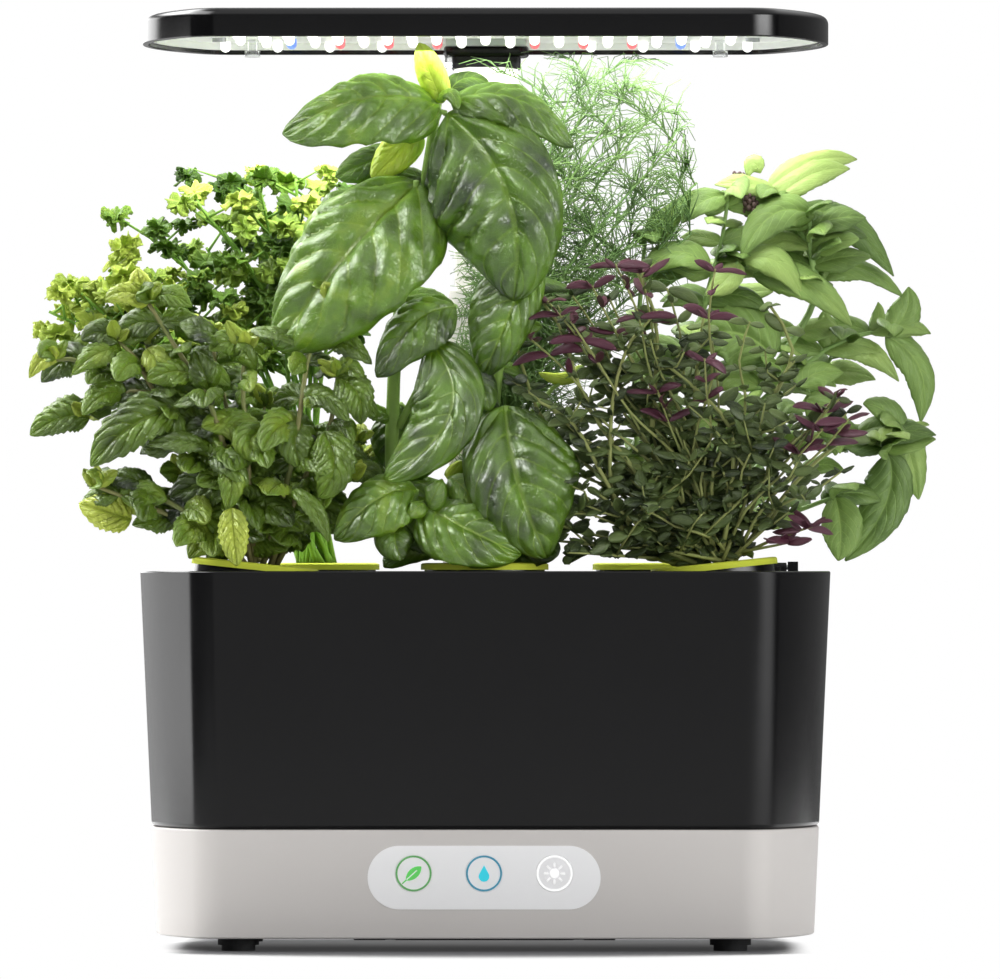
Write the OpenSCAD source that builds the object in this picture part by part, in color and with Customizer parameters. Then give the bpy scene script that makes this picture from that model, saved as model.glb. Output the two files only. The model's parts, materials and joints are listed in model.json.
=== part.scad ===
// Countertop hydroponic garden: a light grey base with a control panel, a black water bowl with
// a planting deck and six pods, and a grow-light hood on a telescoping mast.
// Origin: middle of the footprint on the table. +Z up, the panel faces -Y, +X to the right.

/* [Body] */
// Width of the bowl at its rim
body_w = 267; // [255:1:285]
// Radius of the bowed ends, seen from above
end_r = 125; // [110:1:160]
// Radius between the flat front and the bowed ends
corner_r = 16; // [10:1:22]
// Draft of the side walls in degrees
draft = 2.6; // [1:0.1:3.5]
// Height of the rubber feet
foot_h = 5; // [4:0.5:8]
// Height of the light grey base
base_h = 41.6; // [40:0.2:52]
// Height of the black bowl
bowl_h = 98.4; // [90:0.2:112]
// Wall of the base
base_wall = 2.4; // [2:0.1:3]
// Wall of the bowl
bowl_wall = 2.4; // [2:0.1:3]
// Rounding of the bowl's lower edge
bowl_edge = 2; // [1:0.25:3]

/* [Base] */
// Thickness of the bottom cover
cover_t = 2.5; // [2:0.1:3.5]
// How far the cable tray stands below the cover
tray_drop = 1.1; // [0.5:0.1:2]
// Width of the cable tray
tray_w = 100; // [60:1:140]
// Height of the locating step under the bowl
step_h = 2; // [1:0.25:3]
// Distance from the feet to the ends of the bowl
foot_end = 39.5; // [36:0.5:50]
// Distance from the feet to the bowl's front and back
foot_edge = 24; // [22:0.5:30]
// Radius of a foot's flange
foot_r = 7.9; // [6:0.1:9]
// Radius of the screws' shanks
screw_r = 1.25; // [1:0.05:1.5]

/* [Control panel] */
// Width of the pill-shaped panel
panel_w = 88.7; // [84:0.1:100]
// Height of the panel
panel_h = 24.3; // [22:0.1:27]
// Thickness of the panel
panel_t = 1.5; // [1.2:0.1:2]
// How far the panel stands proud of the wall
panel_proud = 0.2; // [0:0.05:0.5]
// Distance between the buttons
button_pitch = 26.8; // [22:0.1:29]
// Radius of a button
button_r = 7; // [5:0.1:8]
// Travel of a button
button_travel = 0.5; // [0.3:0.1:0.6]
// Stroke of the rings on the buttons
ring_t = 0.7; // [0.4:0.1:1]

/* [Planting deck] */
// Thickness of the planting deck
deck_t = 3; // [2.5:0.1:4]
// Distance from the outer front pods to the ends of the bowl
pod_end_front = 45.5; // [42:0.5:49]
// Distance from the outer rear pods to the ends of the bowl
pod_end_back = 67.5; // [65.5:0.5:72]
// Distance from the outer rear pods to the bowl's back
pod_back = 42; // [40:0.5:45]
// Room between the bowl's front and the front pods' collars
pod_room = 8; // [6.5:0.5:10]
// Room between the collars of the two middle pods
pod_space = 8; // [4:0.5:12]
// Width of a pod's collar around the basket
pod_flange = 3.5; // [3:0.1:4.5]
// Inward tilt of the outer front pods in degrees
pod_tilt = 6; // [0:1:8]
// Radius of a pod basket at its top
pod_r = 19.5; // [17:0.1:20.5]
// Radius of a pod basket at its bottom
pod_tip_r = 14; // [11:0.1:16]
// Length of a pod basket below the deck
pod_len = 46; // [35:1:50]
// Wall of a pod basket
pod_wall = 1.2; // [1:0.1:1.6]
// Radius of the round label on a pod
label_r = 24.5; // [23.5:0.1:25]
// Thickness of a label
label_t = 1; // [0.4:0.1:1.2]
// Width of the filling lid
lid_w = 22; // [18:1:26]
// Length of the filling lid
lid_l = 30; // [24:1:34]
// Distance from the filling lid to the end of the bowl
lid_end = 22.5; // [20.5:0.5:25]

/* [Water system] */
// Radius of the float
float_r = 9; // [7:0.1:10]
// Height of the float
float_h = 14; // [10:1:18]
// Travel of the float between empty and full
float_travel = 30; // [20:1:40]
// Radius of the pump's drum
pump_r = 17; // [14:0.1:18]
// Height of the pump's drum
pump_h = 26; // [22:1:30]

/* [Mast] */
// Outer width of the fixed sleeve
mast_w = 34; // [32:0.5:37]
// Outer depth of the fixed sleeve
mast_d = 24; // [23:0.5:25]
// Wall of each mast tube
mast_wall = 2; // [1.6:0.1:2.4]
// Sliding clearance between two tubes, on each side
mast_gap = 0.3; // [0.2:0.05:0.5]
// Distance from the mast to the bowl's back
mast_back = 12; // [11:0.5:14]
// Height of the sleeve above the bowl's rim
mast_proud = 5; // [2:1:10]
// Travel of each of the two sliding tubes
mast_travel = 45; // [30:1:50]

/* [Hood] */
// Height of the hood above the bowl's rim
grow_h = 203.4; // [190:0.2:240]
// Height of the hood's rim
hood_h = 11; // [10:0.2:14]
// How much narrower than the bowl the hood is, on each side
hood_inset = 0.8; // [0:0.1:4]
// Wall of the hood
hood_wall = 2.6; // [2:0.1:4]
// Radius of an emitter
led_r = 2; // [1.5:0.1:2.4]
// Distance between two emitters
led_pitch = 19; // [18:0.5:20]

/* [Plants] */
// Spread of the foliage around the pods
spread = 1; // [0.94:0.01:1.02]
// Thickness of the leaves
leaf_t = 0.9; // [0.7:0.1:1.2]

/* [Hidden] */
$fn = 48;
eps = 0.01;
gap = 0.3;
// The depth holds the two rows of pods, the mast's notch and the mast
collar_r = pod_r + pod_flange;
notch_room = 6.5;
notch_gap = 1.5;
body_d = pod_room + 4 * collar_r + pod_space + notch_room + notch_gap + mast_d + mast_back;
mast_y = body_d / 2 - mast_back - mast_d / 2;
slack = tan(draft);
base_z = foot_h;
seam_z = foot_h + base_h;
rim_z = seam_z + bowl_h;
hood_z = rim_z + grow_h;
hood_top = hood_z + hood_h;

base_color = "#cbc7c4";
black = "#1f1f20";
panel_color = "#dcdcdc";
steel = "#b9bbbe";
green = "#49a84a";

// Half of the width and the depth at a height, where the side walls lean
function half_w(z) = body_w / 2 - (rim_z - z) * slack;
function half_d(z) = body_d / 2 - (rim_z - z) * slack;

// Points of one end's half: the fillet behind the flat front, and half of the bowed end
arc_steps = 5;
fillet_steps = 4;
function end_half(hw, hd, re, rc) =
    let (xc = hw - re, fy = hd - rc, fx = xc + sqrt(pow(re - rc, 2) - fy * fy))
    let (a = atan2(fy, fx - xc))
    concat([for (i = [0:fillet_steps - 1]) let (t = a + (90 - a) * (1 - i / fillet_steps))
                [fx + rc * cos(t), fy + rc * sin(t)]],
           [for (i = [0:arc_steps]) let (t = a * (1 - i / arc_steps))
                [xc + re * cos(t), re * sin(t)]]);
function backwards(p) = [for (i = [len(p) - 1:-1:0]) p[i]];
// The whole outline, for half width hw, half depth hd and a wall's inset
function outline(hw, hd, inset) =
    let (q = end_half(hw - inset, hd - inset, end_r - inset, max(1, corner_r - inset)))
    let (lower = [for (p = backwards(q)) [p[0], -p[1]]])
    let (right = concat(q, [for (i = [1:len(lower) - 1]) lower[i]]))
    concat(right, [for (p = backwards(right)) [-p[0], p[1]]]);

// A thin slice of the body at height z, set in by inset
module slice(z, inset) {
    translate([0, 0, z]) linear_extrude(eps) polygon(outline(half_w(z), half_d(z), inset));
}
// The leaning body between two heights, set in by inset
module leaning(z0, z1, inset) {
    hull() {
        slice(z0, inset);
        slice(z1 - eps, inset);
    }
}
// An upright body with the outline that the leaning one has at height z
module upright(z, z0, z1, inset) {
    translate([0, 0, z0]) linear_extrude(z1 - z0)
        polygon(outline(half_w(z), half_d(z), inset));
}
// Puts its children on the leaning front wall, at height z: local z points out of the wall
module on_front(z) {
    translate([0, -half_d(z), z]) rotate([90 + draft, 0, 0]) children();
}
module box(x, y, z, h) { translate([-x / 2, -y / 2, z]) cube([x, y, h]); }
module ring(r, hole, z, h) {
    difference() {
        translate([0, 0, z]) cylinder(h = h, r = r);
        translate([0, 0, z - 1]) cylinder(h = h + 2, r = hole);
    }
}
module pill(w, h, z, t) {
    translate([0, 0, z]) linear_extrude(t) union() {
        square([w - h, h], center = true);
        for (s = [-1, 1]) translate([s * (w - h) / 2, 0]) circle(r = h / 2);
    }
}

// ---- Base ----
panel_z = seam_z - 18.2;
button_rise = 1.6;
button_gap = 0.08;
plate_t = 2.5;
step_inset = 14;
sleeve_gap = 0.3;
jack_x = 45;
jack_z = seam_z - 22;
jack_r = 5.4;
boss_r = 3.6;
boss_end = 25.5;
boss_edge = 42;
boss_x = body_w / 2 - boss_end;
boss_y = body_d / 2 - boss_edge;
boss_spots = [[-boss_x, -boss_y], [boss_x, -boss_y], [-boss_x, boss_y], [boss_x, boss_y],
              [-boss_x / 3, -boss_y * 1.4], [boss_x / 3, -boss_y * 1.4]];
dock_x = -42;
dock_y = mast_y - 8;
dock_w = 22;
dock_d = 12;

module sleeve_hole(z, h) {
    translate([0, mast_y, 0]) box(mast_w + 2 * sleeve_gap, mast_d + 2 * sleeve_gap, z, h);
}
module base_housing() {
    color(base_color) difference() {
        union() {
            difference() {
                leaning(base_z, seam_z, 0);
                leaning(base_z - 1, seam_z - plate_t, base_wall);
            }
            difference() {
                upright(base_z, seam_z - eps, seam_z + step_h, step_inset);
                notch(bowl_wall + gap, seam_z, seam_z + step_h + 1);
            }
            for (p = boss_spots) translate([p[0], p[1], base_z + cover_t])
                cylinder(h = base_h - cover_t - plate_t + eps, r = boss_r);
        }
        for (p = boss_spots) translate([p[0], p[1], base_z + cover_t - eps])
            cylinder(h = 12, r = screw_r + 0.05);
        sleeve_hole(seam_z - plate_t - 1, plate_t + step_h + 2);
        translate([dock_x, dock_y, 0])
            box(dock_w + 2 * gap, dock_d + 2 * gap, seam_z - plate_t - 1, plate_t + step_h + 2);
        on_front(panel_z) pill(panel_w + 0.2, panel_h + 0.2, panel_proud - panel_t, panel_t + 2);
        for (i = [-1:1]) on_front(panel_z)
            translate([i * button_pitch, button_rise, -base_wall - 2])
                cylinder(h = base_wall + 3, r = button_r + button_gap);
        translate([jack_x, half_d(jack_z) - base_wall - 3, jack_z]) rotate([-90, 0, 0])
            cylinder(h = base_wall + 6, r = jack_r + 0.05);
    }
}

foot_stem_r = 3;
foot_x = body_w / 2 - foot_end;
foot_y = body_d / 2 - foot_edge;
module foot_shape() {
    cylinder(h = foot_h * 0.45, r = foot_r * 0.82);
    translate([0, 0, foot_h * 0.45]) cylinder(h = foot_h * 0.55, r = foot_r);
    translate([0, 0, foot_h]) cylinder(h = cover_t, r = foot_stem_r - 0.05);
}
module at_feet() {
    for (sx = [-1, 1], sy = [-1, 1]) translate([sx * foot_x, sy * foot_y, 0]) children();
}
module feet() { color("#262628") at_feet() foot_shape(); }

head_r = screw_r * 2.2;
head_t = 1.4;
tray_edge = 26;
vent_w = 18;
vent_x = tray_w / 2 + 16;
module bottom_cover() {
    color(black) difference() {
        union() {
            upright(base_z, base_z, base_z + cover_t, base_wall + gap);
            box(tray_w, body_d - 2 * tray_edge, base_z - tray_drop, tray_drop + eps);
        }
        at_feet() translate([0, 0, base_z - 1]) cylinder(h = cover_t + 2, r = foot_stem_r);
        for (p = boss_spots) translate([p[0], p[1], base_z - 2]) {
            cylinder(h = cover_t + 4, r = screw_r + 0.2);
            cylinder(h = 2 + head_t, r = head_r + 0.2);
        }
        for (x = [-1, 1], i = [0:5]) translate([x * vent_x, -30 + 12 * i, base_z - 1])
            cube([vent_w, 3, 2 * cover_t + 2], center = true);
    }
}
module screw(length) {
    difference() {
        cylinder(h = head_t, r = head_r);
        for (a = [0, 90]) rotate([0, 0, a]) cube([head_r * 1.2, 0.6, 1.2], center = true);
    }
    translate([0, 0, head_t - eps]) cylinder(h = length, r = screw_r);
}
module cover_screws() {
    color(steel) for (p = boss_spots) translate([p[0], p[1], base_z]) screw(10);
}

// ---- Control panel ----
flange_t = 1;
cap_depth = base_wall + 0.3;
board_back = 9;
board_t = 1.6;
switch_h = board_back - board_t - cap_depth - flange_t - button_travel - gap;
module panel_plate() {
    difference() {
        pill(panel_w, panel_h, panel_proud - panel_t, panel_t);
        for (i = [-1:1]) translate([i * button_pitch, button_rise, -panel_t - 1])
            cylinder(h = panel_t + 3, r = button_r + button_gap);
    }
}
module control_panel() { color(panel_color) on_front(panel_z) panel_plate(); }
module button(i) {
    color(panel_color) on_front(panel_z) translate([i * button_pitch, button_rise, 0]) {
        translate([0, 0, -cap_depth]) cylinder(h = cap_depth + panel_proud, r = button_r);
        translate([0, 0, -cap_depth - flange_t]) cylinder(h = flange_t, r = button_r + 1.2);
    }
}
icon_t = 0.15;
module on_button(i) {
    on_front(panel_z) translate([i * button_pitch, button_rise, panel_proud])
        linear_extrude(icon_t) children();
}
module ring_outline() {
    difference() {
        circle(r = button_r - 0.16);
        circle(r = button_r - 0.16 - ring_t);
    }
}
// A pointed leaf with its midrib left open: two arcs of a circle that cross at the tips
module leaf_sign(s) {
    rotate([0, 0, 42]) difference() {
        intersection() {
            translate([0, -0.62 * s]) circle(r = s);
            translate([0, 0.62 * s]) circle(r = s);
        }
        translate([-s, -0.04 * s]) square([1.35 * s, 0.09 * s]);
    }
    rotate([0, 0, 222]) translate([0.7 * s, -0.05 * s]) square([0.45 * s, 0.1 * s]);
}
drop_turn = 28;
module drop_sign(s) {
    translate([0, -0.35 * s]) {
        circle(r = 0.62 * s);
        polygon([[-0.62 * s * cos(drop_turn), 0.62 * s * sin(drop_turn)], [0, 1.32 * s],
                 [0.62 * s * cos(drop_turn), 0.62 * s * sin(drop_turn)]]);
    }
}
module sun_sign(s) {
    circle(r = 0.42 * s);
    for (a = [0:45:315]) rotate([0, 0, a]) translate([0.6 * s, -0.06 * s])
        square([0.38 * s, 0.12 * s]);
}
sign_s = button_r * 0.58;
module food_button() { button(-1); }
module water_button() { button(0); }
module light_button() { button(1); }
module food_icon() {
    color(green) on_button(-1) {
        ring_outline();
        leaf_sign(sign_s * 1.25);
    }
}
module water_icon() {
    color("#2f9fb0") on_button(0) {
        ring_outline();
        drop_sign(sign_s * 0.8);
    }
}
module light_icon() {
    color("#fafafa") on_button(1) {
        ring_outline();
        sun_sign(sign_s);
    }
}
board_w = panel_w - 12;
board_d = panel_h - 4;
chip_t = 2.5;
module control_board() {
    color("#2f6b3c") on_front(panel_z) {
        translate([0, 0, -board_back]) linear_extrude(board_t)
            square([board_w, board_d], center = true);
        for (s = [-1, 1]) translate([s * (board_w / 2 - 4), -board_d / 2 + 4, -board_back + eps])
            cylinder(h = board_back - base_wall - eps, r = 2);
    }
    color("#222222") on_front(panel_z) for (x = [-32, -13, 13])
        translate([x, -2, -board_back - chip_t]) linear_extrude(chip_t + eps)
            square([9, 7], center = true);
}
module tact_switches() {
    color("#303030") on_front(panel_z) for (i = [-1:1])
        translate([i * button_pitch, button_rise, board_t - board_back]) {
            linear_extrude(switch_h * 0.6) square([5, 5], center = true);
            cylinder(h = switch_h, r = 1.6);
        }
}

// ---- Power inlet, inner lead and bowl connector ----
jack_len = 14;
module on_back(x, z) { translate([x, half_d(z), z]) rotate([-90, 0, 0]) children(); }
module dc_jack() {
    color(black) on_back(jack_x, jack_z) difference() {
        union() {
            translate([0, 0, -jack_len]) cylinder(h = jack_len, r = jack_r);
            translate([0, 0, -base_wall - 2.8]) cylinder(h = 2, r = jack_r + 2);
        }
        translate([0, 0, 2 - jack_len]) cylinder(h = jack_len, r = 2.8);
    }
}
module jack_pin() {
    color("#c9a24a") on_back(jack_x, jack_z) translate([0, 0, 2 - jack_len])
        cylinder(h = jack_len - 4, r = 1.05);
}
lead_r = 1.6;
lead_x = boss_x / 3 - boss_r - 2.4;
lead_path = [[jack_x, half_d(jack_z) - jack_len - gap, jack_z], [jack_x, 20, jack_z - 6],
             [lead_x, 0, base_z + 5], [lead_x, board_back + 2 * gap - half_d(panel_z), panel_z]];
lead_steps = 14;
lead_sides = 8;
// A point of the lead's route, and its direction there
function route(p, u) = pow(1 - u, 3) * p[0] + 3 * u * pow(1 - u, 2) * p[1]
                       + 3 * u * u * (1 - u) * p[2] + pow(u, 3) * p[3];
function route_way(p, u) =
    let (d = 3 * pow(1 - u, 2) * (p[1] - p[0]) + 6 * u * (1 - u) * (p[2] - p[1])
             + 3 * u * u * (p[3] - p[2]))
    d / norm(d);
function lead_ring(p, u, r) =
    let (d = route_way(p, u), side = cross(d, [0, 0, 1]) / norm(cross(d, [0, 0, 1])))
    let (up = cross(side, d))
    [for (k = [0:lead_sides - 1]) let (t = 360 * k / lead_sides)
        route(p, u) + r * (cos(t) * side + sin(t) * up)];
module power_lead() {
    n = lead_steps;
    m = lead_sides;
    points = [for (i = [0:n]) each lead_ring(lead_path, i / n, lead_r)];
    walls = [for (i = [0:n - 1], k = [0:m - 1])
        [i * m + k, i * m + (k + 1) % m, (i + 1) * m + (k + 1) % m, (i + 1) * m + k]];
    ends = [[for (k = [m - 1:-1:0]) k], [for (k = [0:m - 1]) n * m + k]];
    color("#1b1b1b") polyhedron(points, concat(walls, ends));
}
dock_top = seam_z + step_h;
module dock_plug() {
    color(black) translate([dock_x, dock_y, 0]) {
        box(dock_w, dock_d, seam_z - plate_t - 6, plate_t + step_h + 6);
        for (s = [-1, 1]) translate([s * 5, 0, dock_top - eps]) cylinder(h = 4, r = 1.2);
    }
}

// ---- Mast ----
tube_step = mast_wall + mast_gap;
sleeve_foot = base_z + cover_t + gap;
sleeve_top = rim_z + mast_proud;
middle_top = sleeve_top + 105;
middle_foot = sleeve_top - 92;
upper_foot = sleeve_top + 4;
upper_top = hood_top - hood_wall - 1;
module tube_outline(inset) {
    w = mast_w - 2 * inset;
    d = mast_d - 2 * inset;
    r = max(1, 6 - inset);
    union() {
        square([w - 2 * r, d], center = true);
        square([w, d - 2 * r], center = true);
        for (sx = [-1, 1], sy = [-1, 1]) translate([sx * (w / 2 - r), sy * (d / 2 - r)])
            circle(r = r);
    }
}
module tube(inset, z0, z1) {
    translate([0, mast_y, z0]) linear_extrude(z1 - z0) difference() {
        tube_outline(inset);
        tube_outline(inset + mast_wall);
    }
}
mast_ear = 6;
mast_ear_y = mast_y - 4;
module at_ears() {
    for (s = [-1, 1]) translate([s * (mast_w / 2 + mast_ear - 1), mast_ear_y, sleeve_foot])
        children();
}
module mast_sleeve() {
    color(base_color) {
        tube(0, sleeve_foot, sleeve_top);
        difference() {
            translate([0, mast_ear_y, 0]) box(mast_w + 4 * mast_ear, mast_d - 8, sleeve_foot, 3);
            translate([0, mast_y, 0]) box(mast_w - 2, mast_d - 2, sleeve_foot - 1, 5);
            at_ears() translate([0, 0, -1]) cylinder(h = 5, r = screw_r + 0.2);
        }
    }
}
module mast_screws() {
    color(steel) at_ears() translate([0, 0, 3 + head_t]) mirror([0, 0, 1]) screw(2.8);
}
module mast_middle() {
    color(base_color) tube(tube_step, middle_foot, middle_top);
}
module mast_upper() { color(base_color) tube(2 * tube_step, upper_foot, upper_top); }

// ---- Bowl ----
dish_floor = seam_z + step_h + 0.3 + 2.6;
notch_w = mast_w + 3;
notch_front = mast_y - mast_d / 2 - notch_gap;
ledge_z = rim_z - deck_t - 0.5;
ledge_w = 2;
ledge_t = 3;
deck_gap = 0.4;
module notch(grow, z0, z1) {
    translate([-notch_w / 2 - grow, notch_front - grow, z0])
        cube([notch_w + 2 * grow, body_d / 2, z1 - z0]);
}
module bowl() {
    color(black) difference() {
        hull() {
            slice(seam_z, bowl_edge);
            slice(seam_z + bowl_edge * 0.3, bowl_edge * 0.3);
            slice(seam_z + bowl_edge, 0);
            slice(rim_z - eps, 0);
        }
        difference() {
            leaning(dish_floor, ledge_z - ledge_t, bowl_wall);
            notch(bowl_wall, dish_floor - 1, ledge_z);
        }
        difference() {
            leaning(ledge_z - ledge_t - eps, ledge_z, bowl_wall + ledge_w);
            notch(bowl_wall + ledge_w, ledge_z - ledge_t - 1, ledge_z + 1);
        }
        difference() {
            leaning(ledge_z - eps, rim_z + 1, bowl_wall);
            notch(bowl_wall, ledge_z - 1, rim_z + 2);
        }
        notch(0, seam_z - 1, rim_z + 2);
        difference() {
            upright(base_z, seam_z - 1, seam_z + step_h + 0.3, step_inset - 0.4);
            notch(bowl_wall, seam_z - 2, seam_z + 10);
        }
        translate([dock_x, dock_y, 0]) box(dock_w - 4, dock_d - 4, seam_z, 20);
    }
}
socket_h = 7;
module bowl_socket() {
    color("#2b2b2d") translate([dock_x, dock_y, 0]) difference() {
        union() {
            box(dock_w - 5, dock_d - 5, dock_top + 0.3, socket_h);
            box(dock_w, dock_d, dish_floor, 4);
        }
        for (s = [-1, 1]) translate([s * 5, 0, dock_top - 1]) cylinder(h = 6, r = 1.4);
    }
}

// ---- Planting deck and pods ----
deck_top = ledge_z + deck_t;
pod_x_front = body_w / 2 - pod_end_front;
pod_x_back = body_w / 2 - pod_end_back;
pod_y_front = body_d / 2 - pod_room - collar_r;
pod_y_back = body_d / 2 - pod_back;
pod_y_mid = 2 * collar_r + pod_space - pod_y_front;
pods = [[-pod_x_front, -pod_y_front, pod_tilt], [0, -pod_y_front, 0],
        [pod_x_front, -pod_y_front, -pod_tilt], [-pod_x_back, pod_y_back, 0],
        [0, pod_y_mid, 0], [pod_x_back, pod_y_back, 0]];
collar_t = 1.5;
lip_t = 1.2;
lid_x = body_w / 2 - lid_end;
lid_y = 6;
lid_t = 2;
module at_pod(i) {
    translate([pods[i][0], pods[i][1], deck_top]) rotate([0, pods[i][2], 0]) children();
}
module grow_deck() {
    color(black) difference() {
        union() {
            difference() {
                leaning(ledge_z, deck_top, bowl_wall + deck_gap);
                notch(bowl_wall + deck_gap, ledge_z - 1, rim_z + 1);
            }
            for (i = [0:5]) at_pod(i) translate([0, 0, -deck_t])
                cylinder(h = deck_t + collar_t, r = collar_r);
        }
        for (i = [0:5]) at_pod(i) {
            translate([0, 0, -12]) cylinder(h = 20, r = pod_r + 0.5);
            translate([0, 0, collar_t]) cylinder(h = 8, r = label_r + 1);
        }
        translate([lid_x, lid_y, 0]) {
            box(lid_w - 4, lid_l - 4, ledge_z - 1, deck_t + 2);
            box(lid_w + 0.8, lid_l + 0.8, deck_top - lid_t, lid_t + 2);
        }
        translate([-lid_x, lid_y, ledge_z - 1]) cylinder(h = deck_t + 2, r = 3);
    }
    color(black) translate([lid_x, lid_y + lid_l / 2 + 2.4, deck_top])
        for (s = [-1, 1]) translate([s * (lid_w / 2 - 2.5), 0, 0]) difference() {
            translate([-2, -1.6, -eps]) cube([4, 3.6, 4.2]);
            translate([-3, 0, hinge_z]) rotate([0, 90, 0]) cylinder(h = 6, r = hinge_r);
        }
}
hinge_r = 1;
hinge_z = 2;
pin_gap = 0.05;
knuckle_w = lid_w - 10;
lid_pull = 6;
module fill_lid() {
    color("#2a2a2b") difference() {
        union() {
            translate([lid_x, lid_y, 0]) box(lid_w, lid_l, deck_top - lid_t + 0.05, lid_t);
            translate([lid_x, lid_y + lid_l / 2 + 2.4, deck_top + hinge_z])
                rotate([0, 90, 0]) cylinder(h = knuckle_w, r = hinge_r + 0.8, center = true);
            translate([lid_x, lid_y + lid_l / 2 + 0.6, deck_top + 1.2])
                cube([knuckle_w, 3.4, 2.3], center = true);
            translate([lid_x - lid_pull / 2, lid_y - lid_l / 2, deck_top])
                cube([lid_pull, 1.6, 2.2]);
        }
        translate([lid_x, lid_y + lid_l / 2 + 2.4, deck_top + hinge_z])
            rotate([0, 90, 0]) cylinder(h = lid_w, r = hinge_r + pin_gap, center = true);
    }
}
module lid_pin() {
    color(steel) translate([lid_x, lid_y + lid_l / 2 + 2.4, deck_top + hinge_z])
        rotate([0, 90, 0]) cylinder(h = lid_w - 1, r = hinge_r, center = true);
}

slot_n = 8;
module basket(i) {
    color("#303234") at_pod(i) difference() {
        union() {
            translate([0, 0, -pod_len]) cylinder(h = pod_len + collar_t, r1 = pod_tip_r, r2 = pod_r);
            translate([0, 0, collar_t]) cylinder(h = lip_t, r = collar_r - 0.5);
        }
        translate([0, 0, pod_wall * 2 - pod_len])
            cylinder(h = pod_len + 8, r1 = pod_tip_r - pod_wall, r2 = pod_r - pod_wall + 0.8);
        for (k = [0:slot_n / 2 - 1]) rotate([0, 0, k * 360 / slot_n])
            translate([-pod_r - 2, -1.5, 8 - pod_len]) cube([2 * pod_r + 4, 3, pod_len - 20]);
    }
}
module basket_1() { basket(0); }
module basket_2() { basket(1); }
module basket_3() { basket(2); }
module basket_4() { basket(3); }
module basket_5() { basket(4); }
module basket_6() { basket(5); }
sponge_gap = 1.2;
sponge_top = collar_t + lip_t;
module grow_sponges() {
    color("#4b3a2c") for (i = [0:5]) at_pod(i) translate([0, 0, pod_wall * 2 - pod_len])
        cylinder(h = pod_len - pod_wall * 2 + sponge_top, r1 = pod_tip_r - pod_wall - sponge_gap,
                 r2 = pod_r - pod_wall - sponge_gap);
}
label_hole = 11;
module pod_labels() {
    color("#c9d64a") for (i = [0:5]) at_pod(i) ring(label_r, label_hole, sponge_top, label_t);
}

// ---- Float, pump and outlet ----
float_x = -lid_x;
float_y = lid_y;
guide_r = 2;
guide_foot = 4;
float_rest = dish_floor + guide_foot + gap;
module float() {
    color("#e8702a") translate([float_x, float_y, 0]) ring(float_r, guide_r + 0.1, float_rest, float_h);
}
module float_guide() {
    color("#d8d8d8") translate([float_x, float_y, 0]) {
        translate([0, 0, dish_floor]) cylinder(h = deck_top - dish_floor, r = guide_r);
        translate([0, 0, dish_floor]) cylinder(h = guide_foot, r = 5);
        translate([0, 0, float_rest + float_h + float_travel + 0.5]) cylinder(h = 1.5, r = 4);
    }
}
pump_side = 8.1;
pump_back = 36;
pump_x = notch_w / 2 + bowl_wall + pump_r + pump_side;
pump_y = body_d / 2 - pump_back;
pump_z = dish_floor;
rotor_r = pump_r - 6;
rotor_z = pump_z + pump_h - 11;
outlet_z = rotor_z + 4;
tube_out_r = 3;
module at_pump() { translate([pump_x, pump_y, 0]) children(); }
module pump_housing() {
    color("#2c2f33") at_pump() difference() {
        union() {
            translate([0, 0, pump_z]) cylinder(h = pump_h, r = pump_r);
            translate([pump_r - 1.5, -5, pump_z]) cube([7, 10, 9]);
        }
        translate([0, 0, rotor_z - 1]) cylinder(h = pump_h, r = pump_r - 4);
        translate([0, 0, rotor_z - 6]) cylinder(h = 6, r = 1.5);
        translate([0, 8 - pump_r, outlet_z]) rotate([90, 0, 0]) cylinder(h = 20, r = tube_out_r);
    }
}
module impeller_shaft() {
    color("#eeeeee") at_pump() translate([0, 0, rotor_z - 6])
        cylinder(h = pump_h - 10, r = 1.5 - 0.02);
}
module pump_impeller() {
    color("#e6e6e6") at_pump() difference() {
        union() {
            translate([0, 0, rotor_z - 0.7]) cylinder(h = 8, r = 4);
            translate([0, 0, rotor_z - 0.7]) cylinder(h = 1.5, r = rotor_r);
            for (a = [0:60:300]) rotate([0, 0, a]) translate([2, -0.6, rotor_z - 0.7])
                cube([rotor_r - 3, 1.2, 7]);
        }
        translate([0, 0, rotor_z - 2]) cylinder(h = 14, r = 1.5 + 0.08);
    }
}
pump_lid_z = pump_z + pump_h;
module pump_cover() {
    color("#2c2f33") at_pump() difference() {
        translate([0, 0, pump_lid_z]) cylinder(h = 2.5, r = pump_r);
        for (a = [0:45:315]) rotate([0, 0, a]) translate([rotor_r - 3, 0, pump_lid_z - 1])
            cylinder(h = 5, r = 1.6);
    }
}
module pump_filter() {
    color("#2a5a8a") at_pump() translate([0, 0, pump_lid_z + 2.5]) cylinder(h = 7, r = pump_r - 1);
}
// The tube stands in front of the rear pods, clear of their baskets
tube_y = pod_y_back - collar_r;
module outlet_tube() {
    color("#d9dde0") translate([pump_x, tube_y, outlet_z]) {
        rotate([-90, 0, 0]) cylinder(h = pump_y - pump_r + 4.9 - tube_y, r = tube_out_r - 0.05);
        sphere(r = tube_out_r);
        cylinder(h = ledge_z - outlet_z, r = tube_out_r);
    }
}

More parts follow.
